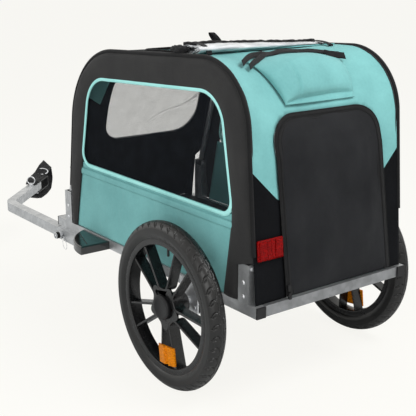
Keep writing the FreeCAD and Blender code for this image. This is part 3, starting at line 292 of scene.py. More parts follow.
def lens(name, dark, light):
    """Reflector lens with its small prisms."""
    paint = Paint(name, Roughness=0.16, Specular_IOR_Level=0.06, Coat_Weight=0.05, Coat_Roughness=0.06)
    cells = paint.node("TexVoronoi", {"distance": "CHEBYCHEV"}, Vector=paint.place, Scale=330)
    prism = cells.outputs["Distance"]
    shade = paint.tint(prism, dark, light, 0.1, 0.55)
    return paint.done(Base_Color=shade, Normal=paint.bump(prism, 0.35, 0.0006))


def vinyl(name, dark, light):
    """Soft clear sheet, milky where it is rolled."""
    paint = Paint(name, Roughness=0.16, Specular_IOR_Level=0.6, Transmission_Weight=0.25, IOR=1.4)
    streak = paint.node("Mapping", Vector=paint.place, Scale=(60, 9, 60)).outputs["Vector"]
    fold = paint.grain(1, 5, 0.6, streak)
    shade = paint.tint(fold, dark, light, 0.36, 0.58)
    return paint.done(Base_Color=shade, Normal=paint.bump(fold, 0.7, 0.006))


FINISH = {
    "teal": woven("teal cloth", (0.145, 0.375, 0.372), (0.215, 0.515, 0.505), shine=0.2),
    "charcoal": woven("charcoal cloth", (0.018, 0.018, 0.0185), (0.031, 0.0305, 0.03), crease=0.4),
    "black": woven("black cloth", (0.0025, 0.0028, 0.0035), (0.006, 0.0064, 0.0078), sheen=0.01, shine=0.05),
    "door": woven("door cloth", (0.006, 0.0064, 0.0078), (0.014, 0.0146, 0.0165), roughness=0.6, sheen=0.02,
                  crease=0.4, shine=0.12),
    "aqua": woven("aqua binding", (0.32, 0.74, 0.70), (0.44, 0.88, 0.84), crease=0.1, shine=0.25),
    "binding": woven("black binding", (0.004, 0.004, 0.0045), (0.010, 0.010, 0.0105), crease=0.1),
    "thread": woven("teal thread", (0.1, 0.3, 0.3), (0.17, 0.42, 0.41), 0.0004, crease=0.05),
    "net": net("window net", (0.012, 0.0145, 0.0185), 0.11),
    "pale_net": net("pale window net", (0.74, 0.75, 0.735), 0.055),
    "plastic": moulded("moulded black", (0.006, 0.006, 0.0065), (0.014, 0.014, 0.015)),
    "wheel": moulded("wheel black", (0.004, 0.004, 0.0043), (0.009, 0.009, 0.0095), 0.24, shine=0.42),
    # The polished black has a faint teal cast: a painted reflection of the teal cloth in the wheel guards
    "gloss": moulded("polished black", (0.003, 0.004, 0.004), (0.007, 0.009, 0.009), 0.16, 900, 0.00005, 0.8),
    "board": moulded("floor board", (0.012, 0.012, 0.013), (0.025, 0.025, 0.027), 0.6, 300),
    "tyre": moulded("tyre rubber", (0.002, 0.002, 0.002), (0.006, 0.0058, 0.0057), 0.32, 700, 0.0003, 0.42),
    "coat": moulded("black powder coat", (0.006, 0.006, 0.0065), (0.015, 0.015, 0.016), 0.38, 1200, 0.0003),
    "zinc": plated("zinc plate", (0.40, 0.41, 0.42), (0.58, 0.59, 0.60), 0.38, 75),
    # A darker copy of the zinc plate: painted shade for the rear crossbar
    "dull": plated("zinc plate darkened as painted shade", (0.20, 0.205, 0.21), (0.30, 0.305, 0.315), 0.42, 75),
    "bright": plated("bright zinc", (0.60, 0.61, 0.63), (0.74, 0.75, 0.76), 0.34, 110),
    "webbing": ribbed("black webbing", (0.005, 0.005, 0.0055), (0.014, 0.014, 0.0155)),
    "red": lens("red lens", (0.05, 0.0004, 0.0006), (0.24, 0.001, 0.001)),
    "orange": lens("orange lens", (0.36, 0.085, 0.001), (0.80, 0.25, 0.003)),
    "vinyl": vinyl("clear vinyl", (0.5, 0.53, 0.55), (0.93, 0.94, 0.95)),
}

# The record's slots: the finish that a CAD piece gets, then any other finish of that slot
SLOT_FINISHES = {
    "zinc_steel": ["zinc", "dull"],
    "bright_steel": ["bright"],
    "black_steel": ["coat"],
    "black_plastic": ["plastic", "wheel", "gloss"],
    "floor_board": ["board"],
    "tyre_rubber": ["tyre"],
    "tube_rubber": ["tyre"],
    "charcoal_cloth": ["charcoal"],
    "teal_cloth": ["teal", "aqua", "thread"],
    "black_cloth": ["black", "door", "binding"],
    "mesh": ["net", "pale_net"],
    "clear_vinyl": ["vinyl"],
    "webbing": ["webbing"],
    "red_lens": ["red"],
    "orange_lens": ["orange"],
}


def dress_frame():
    """The CAD pieces that stay get the finish of their slot."""
    for row in frame["record"]["subparts"]:
        coats = nodes[row["node"]].data.materials
        coats.clear()
        coats.append(FINISH[SLOT_FINISHES[row["material_slot"]][0]])
    # The rear crossbar gets the darker zinc copy as painted shade
    nodes["rear_crossbar"].data.materials[0] = FINISH["dull"]
    for side in SIDES:
        # The axle hangers get the lighter bright zinc: partly their own bright plating, partly painted light,
        # as they sit in shade
        nodes[side + "_axle_hanger"].data.materials[0] = FINISH["bright"]
        # The wheel guards get the polished black, whose teal cast is a painted reflection
        nodes[side + "_wheel_guard"].data.materials[0] = FINISH["gloss"]


# Lines and meshes

class Run:
    """A line of points with its length."""

    def __init__(self, points, closed=False):
        self.points = [Vector(p) for p in points]
        if closed:
            self.points.append(self.points[0].copy())
        self.marks = [0.0]
        for first, second in zip(self.points, self.points[1:]):
            self.marks.append(self.marks[-1] + (second - first).length)
        self.length = self.marks[-1]

    def at(self, distance):
        distance = min(max(distance, 0), self.length)
        index = min(bisect_right(self.marks, distance), len(self.marks) - 1)
        step = self.marks[index] - self.marks[index - 1]
        share = (distance - self.marks[index - 1]) / max(step, 1e-9)
        return self.points[index - 1].lerp(self.points[index], share)

    def heading(self, distance, reach=0.004):
        return (self.at(distance + reach) - self.at(distance - reach)).normalized()

    def spread(self, count):
        return [self.at(self.length * index / (count - 1)) for index in range(count)]

    def find(self, test, step=0.001):
        distance = 0.0
        while distance < self.length and not test(self.at(distance)):
            distance += step
        return distance

    def nearest(self, point):
        best = None
        for first, second in zip(self.points, self.points[1:]):
            edge = second - first
            share = min(max((point - first).dot(edge) / max(edge.length_squared, 1e-12), 0), 1)
            spot = first + edge * share
            gap = (spot - point).length_squared
            if best is None or gap < best[0]:
                best = (gap, spot)
        return best[1]

    def holds(self, point):
        inside = False
        for first, second in zip(self.points, self.points[1:]):
            if (first.y > point.y) != (second.y > point.y):
                share = (point.y - first.y) / (second.y - first.y)
                inside ^= point.x < first.x + share * (second.x - first.x)
        return inside


def rounded(points, radii, closed=False, steps=12, run=1):
    """Points along straight runs joined by tangent arcs; each run is cut into equal steps."""
    count = len(points)
    points = [Vector(p) for p in points]
    corners = []
    for index, (point, radius) in enumerate(zip(points, radii)):
        if not radius:
            corners.append([point])
            continue
        back = (points[index - 1] - point).normalized()
        ahead = (points[(index + 1) % count] - point).normalized()
        half = back.angle(ahead) / 2
        centre = point + (back + ahead).normalized() * (radius / sin(half))
        start = point + back * (radius / tan(half)) - centre
        end = point + ahead * (radius / tan(half)) - centre
        corners.append([centre + start.lerp(end, k / steps).normalized() * radius for k in range(steps + 1)])
    out = []
    for index, corner in enumerate(corners):
        out += corner
        if closed or index < count - 1:
            after = corners[(index + 1) % count][0]
            out += [corner[-1].lerp(after, k / run) for k in range(1, run)]
    return out


def turns(count, ends=1):
    """Angles of one full turn in equal steps; ends counts the last one in."""
    return [2 * pi * k / count for k in range(count + ends)]


def clamp(value):
    return min(max(value, 0), 1)


def ripple(point, scale, depth, seed=0.0):
    return depth * noise.noise(Vector(point) * scale + Vector((seed, seed * 1.7, -seed)))


def show(name, data, finish, smooth=True):
    """A finished mesh as an object at the origin."""
    data.polygons.foreach_set("use_smooth", [smooth] * len(data.polygons))
    data.materials.append(FINISH[finish])
    item = bpy.data.objects.new(name, data)
    bpy.context.scene.collection.objects.link(item)
    return item


def keep(name, bm, finish, smooth=True):
    bmesh.ops.recalc_face_normals(bm, faces=bm.faces)
    data = bpy.data.meshes.new(name)
    bm.to_mesh(data)
    bm.free()
    return show(name, data, finish, smooth)


def lattice(wide, tall, columns, rows, corner=(0, 0)):
    """A flat grid of one cut, wide by tall from its corner, in metres."""
    bm = bmesh.new()
    bmesh.ops.create_grid(bm, x_segments=columns, y_segments=rows, size=0.5)
    for vert in bm.verts:
        vert.co = Vector((corner[0] + (vert.co.x + 0.5) * wide, corner[1] + (vert.co.y + 0.5) * tall, 0))
    return bm


def lay(bm, place):
    """Puts a flat pattern in its place and keeps the flat cut as the UV map."""
    uv = bm.loops.layers.uv.verify()
    for face in bm.faces:
        for corner in face.loops:
            corner[uv].uv = corner.vert.co.xy
    for vert in bm.verts:
        vert.co = place(vert.co.x, vert.co.y)
    return bm


def drop_faces(bm, outline, inside):
    """Takes away the faces inside a closed outline of a flat pattern, or those outside it."""
    gone = [f for f in bm.faces if outline.holds(f.calc_center_median().xy) == inside]
    bmesh.ops.delete(bm, geom=gone, context="FACES")


def pull_to(vert, outline):
    vert.co = outline.nearest(vert.co.xy).to_3d()


def cut_out(bm, outline):
    """Cuts a hole along a closed outline in a flat pattern."""
    drop_faces(bm, outline, True)
    low_x, high_x = min(v.co.x for v in bm.verts), max(v.co.x for v in bm.verts)
    low_y, high_y = min(v.co.y for v in bm.verts), max(v.co.y for v in bm.verts)
    for vert in bm.verts:
        edge = min(vert.co.x - low_x, vert.co.y - low_y, high_x - vert.co.x, high_y - vert.co.y)
        if vert.is_boundary and (edge > 1e-5 or outline.holds(vert.co.xy)):
            pull_to(vert, outline)


def trim_to(bm, outline):
    """Keeps what lies inside a closed outline of a flat pattern."""
    drop_faces(bm, outline, False)
    for vert in bm.verts:
        if vert.is_boundary:
            pull_to(vert, outline)
    return bm


def thicken(item, thickness, offset=0.0):
    made = item.modifiers.new("cloth", "SOLIDIFY")
    made.thickness, made.offset = thickness, offset
    made.use_even_offset = False
    return item


def cloth_piece(name, bm, place, finish, thickness, offset=0.0):
    """A flat pattern laid in its place, with its thickness."""
    return thicken(keep(name, lay(bm, place), finish), thickness, offset)


def soft_edge(item, width):
    item.modifiers.new("soft edge", "BEVEL").width = width
    return item


def soften(item, width, segments=2):
    """Rolled edges on hard pieces, with flat faces that stay flat."""
    soft_edge(item, width)
    made = item.modifiers["soft edge"]
    made.segments, made.limit_method = segments, "ANGLE"
    made.angle_limit = radians(40)
    made.harden_normals = False
    item.modifiers.new("flat faces", "WEIGHTED_NORMAL").keep_sharp = True
    return item


def tube(name, points, radius, finish, closed=False, sides=3):
    """A round binding or wire along points."""
    curve = bpy.data.curves.new(name, "CURVE")
    curve.dimensions = "3D"
    curve.bevel_depth, curve.bevel_resolution = radius, sides
    curve.use_fill_caps = not closed
    spline = curve.splines.new("POLY")
    spline.points.add(len(points) - 1)
    for spot, point in zip(spline.points, points):
        spot.co = (*point, 1)
    spline.use_cyclic_u = closed
    drawn = bpy.data.objects.new(name + "_line", curve)
    bpy.context.scene.collection.objects.link(drawn)
    data = bpy.data.meshes.new_from_object(drawn.evaluated_get(bpy.context.evaluated_depsgraph_get()))
    bpy.data.objects.remove(drawn)
    bpy.data.curves.remove(curve)
    data.name = name
    return show(name, data, finish)


def beads(name, spots, size, finish):
    """Small repeated blocks, such as zip teeth or stitches: spots are (place, heading, outward)."""
    bm = bmesh.new()
    for place, heading, outward in spots:
        side = outward.cross(heading).normalized()
        turn = Matrix((heading, side, outward)).transposed().to_4x4()
        block = Matrix.Translation(place) @ turn @ Matrix.Diagonal((*size, 1))
        bmesh.ops.create_cube(bm, size=1, matrix=block)
    return keep(name, bm, finish, smooth=False)


def sweep(name, path, section, put, finish, closed=False):
    """Carries a closed section along a flat path; section points are (sideways, outwards)."""
    bm = bmesh.new()
    count, rings = len(path), []
    for index, spot in enumerate(path):
        before = path[index - 1] if closed or index else spot
        after = path[(index + 1) % count] if closed or index < count - 1 else spot
        head = (after - before).normalized()
        side = Vector((-head.y, head.x))
        places = [(spot + side * across, out) for across, out in section]
        ring = [bm.verts.new(put(place.x, place.y, out)) for place, out in places]
        rings.append([bm.edges.new((ring[k - 1], ring[k])) for k in range(len(ring))])
    for first, second in zip(rings, rings[1:] + rings[:1] if closed else rings[1:]):
        bmesh.ops.bridge_loops(bm, edges=first + second)
    if not closed:
        bmesh.ops.edgeloop_fill(bm, edges=rings[0] + rings[-1])
    return keep(name, bm, finish)


def lathe(name, profile, put, finish, steps=144):
    """A round piece spun from a closed (radius, outwards) profile."""
    bm = bmesh.new()
    ring = [bm.verts.new((radius, 0, out)) for radius, out in profile]
    edges = [bm.edges.new((ring[k - 1], ring[k])) for k in range(len(ring))]
    bmesh.ops.spin(bm, geom=ring + edges, axis=(0, 0, 1), angle=2 * pi, steps=steps, use_merge=True)
    bmesh.ops.remove_doubles(bm, verts=bm.verts, dist=1e-6)
    for vert in bm.verts:
        vert.co = put(*vert.co)
    return keep(name, bm, finish)


# Cabin outline

def meet(foot_x, lean, roof_z):
    z = (roof_z - ROOF_FALL * foot_x) / (1 + ROOF_FALL * lean)
    return Vector((foot_x + lean * z, z))


def cabin_corners(grow):
    """Front top and rear top of the cabin side, moved out by grow."""
    front_x = FRONT_FOOT + FRONT_LEAN * RAIL_TOP + grow * hypot(1, FRONT_LEAN)
    rear_x = -REAR_FOOT - REAR_LEAN * RAIL_TOP - grow * hypot(1, REAR_LEAN)
    roof_z = ROOF_Z - ROOF_FALL * ROOF_MARK + grow
    return front_x, meet(front_x, -FRONT_LEAN, roof_z), meet(rear_x, REAR_LEAN, roof_z), rear_x


def tunnel_run(grow):
    """The line of the front, roof and rear cloth, from the front foot to the rear foot."""
    front_x, front, rear, rear_x = cabin_corners(grow)
    foot_z = RAIL_TOP + 0.0006
    kink = (front_x - FRONT_LEAN * FRONT_KINK, FRONT_KINK)
    points = [(FRONT_FLARE + grow, foot_z), kink, front, rear, (rear_x + REAR_LEAN * RAIL_TOP, foot_z)]
    return Run(rounded(points, [0, KINK_BEND, FRONT_BEND + grow, REAR_BEND + grow, 0], steps=24))


TUNNEL = tunnel_run(0.0025)


def on_roof(x):
    """How far along the tunnel line the roof comes to a place x."""
    return TUNNEL.find(lambda p: p.x < x and p.y > ON_ROOF)


def on_front(z):
    return TUNNEL.find(lambda p: p.y > z)


def on_rear(z):
    return TUNNEL.find(lambda p: p.x < -0.1 and p.y < z)


ROOF_START, TEAL_START, FLAP_TOP = on_roof(0.335), on_roof(0.016), on_roof(-0.045)
DOOR_START, REAR_END = on_rear(DOOR_TOP), TUNNEL.length
FRONT_SLACK = (on_front(0.43), on_roof(0.34), 0.034)
REAR_SLACK = (on_roof(0.005), on_rear(0.56), 0.030)
OPEN_FRONT = BAND_FRONT_LEAN * RAIL_TOP + FRONT_FOOT - BAND_FRONT
OPEN_REAR = -REAR_FOOT + BAND_REAR
OPEN_ROOF = ROOF_Z - ROOF_FALL * ROOF_MARK - BAND_TOP
OPEN_FRONT_BEND, OPEN_REAR_BEND = 0.09, 0.078


def slack(distance, y):
    """How far the cloth cuts the front and rear bend between the hoops, where nothing holds it up."""
    for start, end, depth in (FRONT_SLACK, REAR_SLACK):
        share = (distance - start) / (end - start)
        if 0 < share < 1:
            return depth * sin(pi * share) ** 1.2 * max(1 - (abs(y) / 0.227) ** 2.6, 0)
    return 0


def tunnel_out(distance):
    head = TUNNEL.heading(distance)
    return Vector((head.y, 0, -head.x))


def on_tunnel(distance, y, lift=0.0):
    spot = TUNNEL.at(distance)
    return Vector((along(spot.x), y, spot.y)) + tunnel_out(distance) * (lift - slack(distance, y))


def roof_at(x):
    return ROOF_Z - ROOF_FALL * (x + ROOF_MARK)


def opening_front(z):
    return OPEN_FRONT - BAND_FRONT_LEAN * z


def opening_rear(z):
    share = max(SILL_Z - z, 0) / (SILL_Z - RAIL_TOP)
    return OPEN_REAR + share * (BAND_REAR_FOOT - BAND_REAR)


def opening_corners(foot_z):
    """The opening inside the band: front foot, front top, rear top, then down its bowed rear edge."""
    front = meet(OPEN_FRONT, -BAND_FRONT_LEAN, OPEN_ROOF)
    rear = meet(OPEN_REAR - BAND_REAR_LEAN * SILL_Z, BAND_REAR_LEAN, OPEN_ROOF)
    return [(opening_front(foot_z), foot_z), front, rear, (OPEN_REAR, SILL_Z)]


WINDOW_BENDS = [0.032, OPEN_FRONT_BEND, OPEN_REAR_BEND, 0.03]
WINDOW = Run(rounded(opening_corners(SILL_Z), WINDOW_BENDS, True, 10, 30), closed=True)


# How the pieces move

def part(item, body, *covers):
    """What a piece moves with and the CAD pieces it stands for."""
    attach(item, body)
    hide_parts(*covers)
    return item


def sinks(item, *covers, body="chassis"):
    """A piece of the tunnel between the sides, moved with one body, the chassis unless another is given, on a
    mesh of its own.
    """
    part(item, body, *covers)
    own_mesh(item)
    return item


def swings(item, side, *covers):
    """Cloth sewn to the frame below the hinge line and to the hoop above it; here its place is baked into its
    mesh and the CAD pieces it stands for are hidden, with no body attached.
    """
    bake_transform(item)
    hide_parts(*covers)
    return item


# Cabin sides

def side_ends(grow, foot):
    """Front foot, front top, rear top and rear foot of the cabin side, moved out by grow."""
    front_x, front, rear, rear_x = cabin_corners(grow)
    return [(front_x - FRONT_LEAN * foot, foot), front, rear, (rear_x + REAR_LEAN * foot, foot)]


def padded_border(side):
    """The foam band that wraps over the hoop, with a bound seam along the roof."""
    sign, clear, foot = SIDES[side], HINGE_Z[side] + 0.016, RAIL_TOP + 0.001
    bends, runs, arcs = [0, FRONT_BEND, REAR_BEND, 0], 28, 24
    outer = rounded(side_ends(0.0005, foot), bends, steps=arcs, run=runs)
    inner_points = [*opening_corners(foot), (BAND_REAR_FOOT - REAR_FOOT, foot)]
    inner = rounded(inner_points, [0, OPEN_FRONT_BEND, OPEN_REAR_BEND, 0.12, 0], steps=arcs, run=runs)
    leg = len(outer) - runs - 1
    inner[leg:] = Run(inner[leg:]).spread(runs + 1)
    bracket_rear, bracket_front = -0.174, 0.5575
    for spot in outer:
        if spot.y < clear:
            spot.x = min(max(spot.x, bracket_rear), bracket_front)
    steps, wide, length = len(outer) - 1, 0.066, Run(outer).length
    face, puff, wrap, roll = 0.2343, 0.0022, 0.0155, 0.24

    def place(u, v):
        index = round(u / length * steps)
        share = (v / wide) ** 1.4
        spread = max((share - roll) / (1 - roll), 0)
        y = face + puff * sin(pi * spread) - puff * spread
        if share < roll:
            turn = (1 - share / roll) * pi / 2
            share, y = roll * (1 - sin(turn)), face - wrap + wrap * cos(turn)
        spot = outer[index].lerp(inner[index], share)
        dent = ripple((spot.x, spot.y, sign), 24, 0.0013) + ripple((spot.x, spot.y, sign), 70, 0.0004)
        return Vector((along(spot.x), sign * (y + (1 - spread) * dent), spot.y))

    bm = lattice(length, wide, steps, 16)
    band = cloth_piece(side + "_padded_band", bm, place, "charcoal", 0.0024, -sign)
    swings(band, side, side + "_border")
    seam = Run(rounded(side_ends(0.0018, foot), bends, steps=arcs)).spread(400)
    line = [Vector((along(p.x), sign * 0.2270, p.y)) for p in seam if p.y > clear + 0.012]
    part(tube(side + "_roof_seam", line, 0.0052, "binding", sides=5), side + "_side")


def lower_cloth(side):
    """The teal lower side with its skirt, sill tape and rows of stitches."""
    sign, body, out = SIDES[side], side + "_side", Vector((0, SIDES[side], 0))
    low, high, wide, tuck = RAIL_TOP + 0.001, SILL_Z + 0.003, 0.70, 0.006
    tape_long, tape_wide, tape_low = 0.65, 0.017, SILL_Z - 0.030

    def place(u, v):
        z = low + v
        rear, front = opening_rear(z) - tuck, opening_front(z) + tuck
        x = rear + u / wide * (front - rear)
        loose = sin(pi * u / wide) * sin(pi * v / (high - low))
        y = CLOTH_Y - 0.001 + 0.003 * loose + ripple((x * 3, 0, z), 16, 0.0016 * loose + 0.0002, sign)
        return Vector((along(x), sign * y, z))

    def tape(u, v):
        z = tape_low + v
        x = OPEN_REAR + u * (opening_front(z) - OPEN_REAR) / tape_long
        rise = 0.0012 + 0.0008 * sin(pi * v / tape_wide)
        return Vector((along(x), sign * (CLOTH_Y + 0.0008 + rise), z))

    cloth = cloth_piece(side + "_lower_cloth", lattice(wide, high - low, 90, 34), place, "teal", 0.0012)
    swings(cloth, side, side + "_lower_panel", side + "_skirt")
    band = cloth_piece(side + "_sill_tape", lattice(tape_long, tape_wide, 80, 8), tape, "teal", 0.0008)
    part(band, body)
    stitches, spots = 150, []
    for z in (tape_low + 0.0012, tape_low + 0.0158):
        for step in range(stitches):
            x = OPEN_REAR + (step + 0.5) / stitches * (opening_front(z) - OPEN_REAR)
            spots.append((Vector((along(x), sign * (CLOTH_Y + 0.0026), z)), Vector((1, 0, 0)), out))
    part(beads(side + "_sill_stitches", spots, (0.003, 0.0008, 0.0006), "thread"), body)


def side_window(side):
    """The net window with its light piping."""
    sign = SIDES[side]
    tape = [(0.003, 0.2328), (-0.0072, 0.2310), (-0.0078, 0.2326), (-0.006, 0.2350), (-0.001, 0.2362),
            (0.003, 0.2354)]

    def place(x, z):
        loose = ripple((x, sign, z), 7, 0.0022) + ripple((x, sign, z), 22, 0.0006)
        return Vector((along(x), sign * (CLOTH_Y - 0.0012 + loose), z))

    def put(x, z, y):
        return Vector((along(x), sign * y, z))

    bm = trim_to(lattice(0.66, 0.29, 110, 48, (-0.16, 0.43)), WINDOW)
    pane = part(keep(side + "_window_net", lay(bm, place), "net"), side + "_side", side + "_window")
    piping = sweep(side + "_window_piping", WINDOW.spread(300)[:-1], tape, put, "aqua", True)
    part(piping, side + "_side")


# Tunnel cloth

def tunnel_cloth(name, start, end, cells, seed, crumple, finish, hole, second=None, split=None, narrow=None):
    """Cloth across the tunnel between two places on its line; split gives the seam to a second cloth."""
    bm = lattice(1, 1, *cells)
    for face in bm.faces:
        face.material_index = int(split is not None and face.calc_center_median().x > 0.5)
    for vert in bm.verts:
        u, y = vert.co.x, (vert.co.y * 2 - 1) * CLOTH_HALF
        if split is None:
            s = start + (end - start) * u
        else:
            seam = split(y)
            s = start + (seam - start) * u * 2 if u < 0.5 else seam + (end - seam) * (u * 2 - 1)
        vert.co = Vector((s, y, 0))
    cut_out(bm, hole)

    def place(s, y):
        pull = cos(pi / 2 * y / CLOTH_HALF)
        lift = ripple((s, y, seed), 9, crumple * 2 * pull, seed)
        lift += ripple((s, y, seed), 28, crumple * 0.6 * pull)
        return on_tunnel(s, y * (narrow(s) if narrow else 1), lift - 0.003 * pull)

    item = cloth_piece(name, bm, place, finish, 0.0014)
    if second:
        item.data.materials.append(FINISH[second])
    return item


def in_pattern(start, end, half, bends, aside=0.0):
    """A rounded opening in the tunnel cloth's flat pattern."""
    points = [(start, aside - half), (end, aside - half), (end, aside + half), (start, aside + half)]
    return Run(rounded(points, bends, True, 8, 14), closed=True)


def net_piping(name, window):
    """The bound edge round a net in the tunnel cloth."""
    edge = [on_tunnel(p.x, p.y, 0.0012) for p in window.spread(200)[:-1]]
    sinks(tube(name, edge, 0.0022, "binding", True))


NET_LOW, NET_HIGH, NET_HALF, NET_ASIDE = on_front(0.482), on_front(0.690), 0.160, -0.026
NET_WINDOW = in_pattern(NET_LOW, NET_HIGH, NET_HALF, [0.085, 0.045, 0.045, 0.045], NET_ASIDE)


def front_cloth():
    """The black front with a border round the net and teal above; its foot fits between the brackets."""
    foot_share, foot_end = 0.903, on_front(0.395) - 0.01
    border_half, border_end = 0.181, NET_HIGH + 0.03
    seam_y, seam_low, seam_high = 0.168, on_front(0.598), on_front(0.636)

    def narrow(s):
        return foot_share + (1 - foot_share) * clamp((s - foot_end) / 0.02)

    def seam(y):
        if abs(y - NET_ASIDE) < border_half:
            return border_end
        return seam_low + (seam_high - seam_low) * (abs(y) - seam_y) / (CLOTH_HALF - seam_y)

    cloth = tunnel_cloth("front_cloth", 0.0, ROOF_START, (72, 60), 1.0, 0.0014, "black", NET_WINDOW,
                         "teal", seam, narrow)
    sinks(cloth, "front_panel")


def front_net():
    """The slack pale net, with a fold that runs down from its right edge, and a painted shadow line of dark
    net along the fold.
    """
    start, run = Vector((NET_LOW + 0.112, NET_ASIDE - NET_HALF)), Vector((-0.074, 0.205))
    across = Vector((run.y, -run.x)).normalized()

    def fold_at(s, y):
        """How far along the fold a place is, and how far beside it."""
        spot = Vector((s, y)) - start
        share = clamp(spot.dot(run) / run.length_squared)
        return share, spot.dot(across) + 0.005 * sin(7 * share)

    def place(s, y):
        share, off = fold_at(s, y)
        groove = exp(-(off / 0.0034) ** 2) - 0.55 * exp(-((off - 0.010) / 0.012) ** 2)
        return on_tunnel(s, y, ripple((s, y, 3), 11, 0.003) - 0.002 + 0.013 * (1 - share) ** 0.7 * groove)

    tall, wide = NET_HIGH - NET_LOW, NET_HALF * 2
    bm = trim_to(lattice(tall, wide, 170, 170, (NET_LOW, NET_ASIDE - NET_HALF)), NET_WINDOW)
    # Faces close to the fold get the dark net as a second material: a painted shadow line under the fold
    for face in bm.faces:
        share, off = fold_at(*face.calc_center_median().xy)
        face.material_index = int(abs(off + 0.001) < 0.0030 * (1 - share) ** 0.8)
    pane = sinks(keep("front_window_net", lay(bm, place), "pale_net"), "front_window")
    pane.data.materials.append(FINISH["net"])
    net_piping("front_window_piping", NET_WINDOW)


def front_gusset(side):
    """The black corner between the band and the flared foot of the front cloth."""
    sign = SIDES[side]
    low, tall, wide, rows = 0.256, 0.402 - 0.256, 0.06, 20
    fronts = [TUNNEL.at(on_front(low + tall * k / rows)).x for k in range(rows + 1)]

    def place(u, v):
        z = low + v
        rear = FRONT_FOOT - FRONT_LEAN * (z - RAIL_TOP) + 0.0125
        x = rear + (fronts[round(v / tall * rows)] - rear) * u / wide
        return Vector((along(x), sign * (0.2062 + ripple((x, sign, z), 20, 0.0006)), z))

    cloth = cloth_piece(side + "_front_gusset", lattice(wide, tall, 8, rows), place, "black", 0.0012)
    sinks(cloth)


def roof_cloth():
    """The black roof with its net window, and the seam to the teal cloth behind it."""
    start, end, half = on_roof(0.295), on_roof(0.125), 0.165
    window = in_pattern(start, end, half, [0.03] * 4)
    cloth = tunnel_cloth("roof_cloth", ROOF_START, TEAL_START, (48, 56), 2.0, 0.0012, "black", window)
    sinks(cloth, "roof_panel")

    def sag(s, y):
        return on_tunnel(s, y, ripple((s, y, 5), 12, 0.002) - 0.003)

    bm = trim_to(lattice(end - start, half * 2, 36, 60, (start, -half)), window)
    pane = sinks(keep("roof_window_net", lay(bm, sag), "net"), "roof_window")
    net_piping("roof_window_piping", window)
    seam = [on_tunnel(TEAL_START, -0.23 + 0.46 * k / 40, 0.0016) for k in range(41)]
    sinks(tube("roof_seam", seam, 0.0018, "teal"))


# Rear cloth and door

def door_side(s, sign, grow=0.0):
    """The door's left or right edge in the flat pattern; both lean to the right on the way down."""
    lean = 0.020 if sign > 0 else 0.030
    return sign * (DOOR_HALF + grow) - lean * max(s - DOOR_START, 0) / (REAR_END - DOOR_START)


def door_frame(top, low, grow, bend, closed=False, run=1):
    corners = [(low, 1), (top, 1), (top, -1), (low, -1)]
    points = [(s, door_side(s, sign, grow)) for s, sign in corners]
    return Run(rounded(points, [0, bend, bend, 0], closed, 14, run), closed)


def door_line(grow, count=240):
    """The arch round the rear door in the flat pattern, from its left foot to its right foot."""
    return door_frame(DOOR_START - grow, REAR_END - 0.003, grow, DOOR_BEND + grow).spread(count)


def rear_cloth():
    """The teal rear, black below a slanting seam on both sides of the door."""
    inner_y, outer_y, middle_y = 0.156, 0.233, 0.12
    inner_seam, outer_seam = on_rear(0.476), on_rear(0.553)
    doorway = door_frame(DOOR_START, REAR_END + 0.2, 0.002, DOOR_BEND, True, 14)

    def seam(y):
        share = (max(abs(y), middle_y) - inner_y) / (outer_y - inner_y)
        return inner_seam + (outer_seam - inner_seam) * share

    cloth = tunnel_cloth("rear_cloth", TEAL_START, REAR_END, (84, 72), 4.0, 0.0016, "teal", doorway,
                         "black", seam)
    sinks(cloth, "rear_upper_panel", "rear_corner_panels")


def rear_door():
    """The zipped door: slack cloth with a bound zip round its arch."""
    outline = door_frame(DOOR_START + 0.001, REAR_END - 0.002, 0, DOOR_BEND, True, 20)
    tall, wide, zip_steps = REAR_END - DOOR_START, DOOR_HALF * 2, 239
    inner, outer = door_line(-0.0150), door_line(0.0035)

    def place(s, y):
        gap = (outline.nearest(Vector((s, y))) - Vector((s, y))).length
        loose = min(1, gap / 0.05) ** 0.7
        swell = 0.006 + ripple((s * 0.7, y * 1.6, 2), 12, 0.004) + ripple((s, y, 7), 34, 0.0009)
        return on_tunnel(s, y, 0.0018 + loose * swell)

    def strip(u, v):
        spot = inner[round(u)].lerp(outer[round(u)], v)
        return on_tunnel(spot.x, spot.y, 0.0032 + 0.0012 * sin(pi * v))

    bm = trim_to(lattice(tall, 0.36, 84, 72, (DOOR_START, -0.2)), outline)
    door = sinks(cloth_piece("rear_door_cloth", bm, place, "door", 0.0014), "rear_door", body="rear_door")
    tape = cloth_piece("door_zip_tape", lattice(zip_steps, 1, zip_steps, 6), strip, "binding", 0.001)
    sinks(tape, body="rear_door")
    middle = door_line(-0.0058, 420)
    spots = []
    for first, second in zip(middle, middle[1:]):
        a, b = on_tunnel(first.x, first.y, 0.0052), on_tunnel(second.x, second.y, 0.0052)
        spots.append(((a + b) / 2, (b - a).normalized(), tunnel_out(first.x)))
    teeth = sinks(beads("door_zip_teeth", spots, (0.0013, 0.0042, 0.0012), "plastic"), body="rear_door")
    for name, grow in (("outer", 0.0040), ("inner", -0.0155)):
        line = [on_tunnel(p.x, p.y, 0.0036) for p in door_line(grow, 160)]
        sinks(tube(f"door_{name}_binding", line, 0.0014, "binding"), body="rear_door")
    pull_at, above = REAR_END - 0.022, REAR_END - 0.03
    head, out = TUNNEL.heading(above), tunnel_out(above)
    low, up = on_tunnel(pull_at, door_side(pull_at, 1), 0.008), -Vector((head.x, 0, head.y))
    spots = [(low, up, out), (low - up * 0.018 + out * 0.0015, up, out)]
    sinks(beads("door_zip_pull", spots, (0.014, 0.008, 0.0035), "plastic"), body="rear_door")


def strap_line(y):
    """Where the flap's strap runs: over the middle of the roof, then back towards both ends."""
    return FLAP_TOP + 0.055 * min(abs(y) / 0.15, 1.2) ** 2


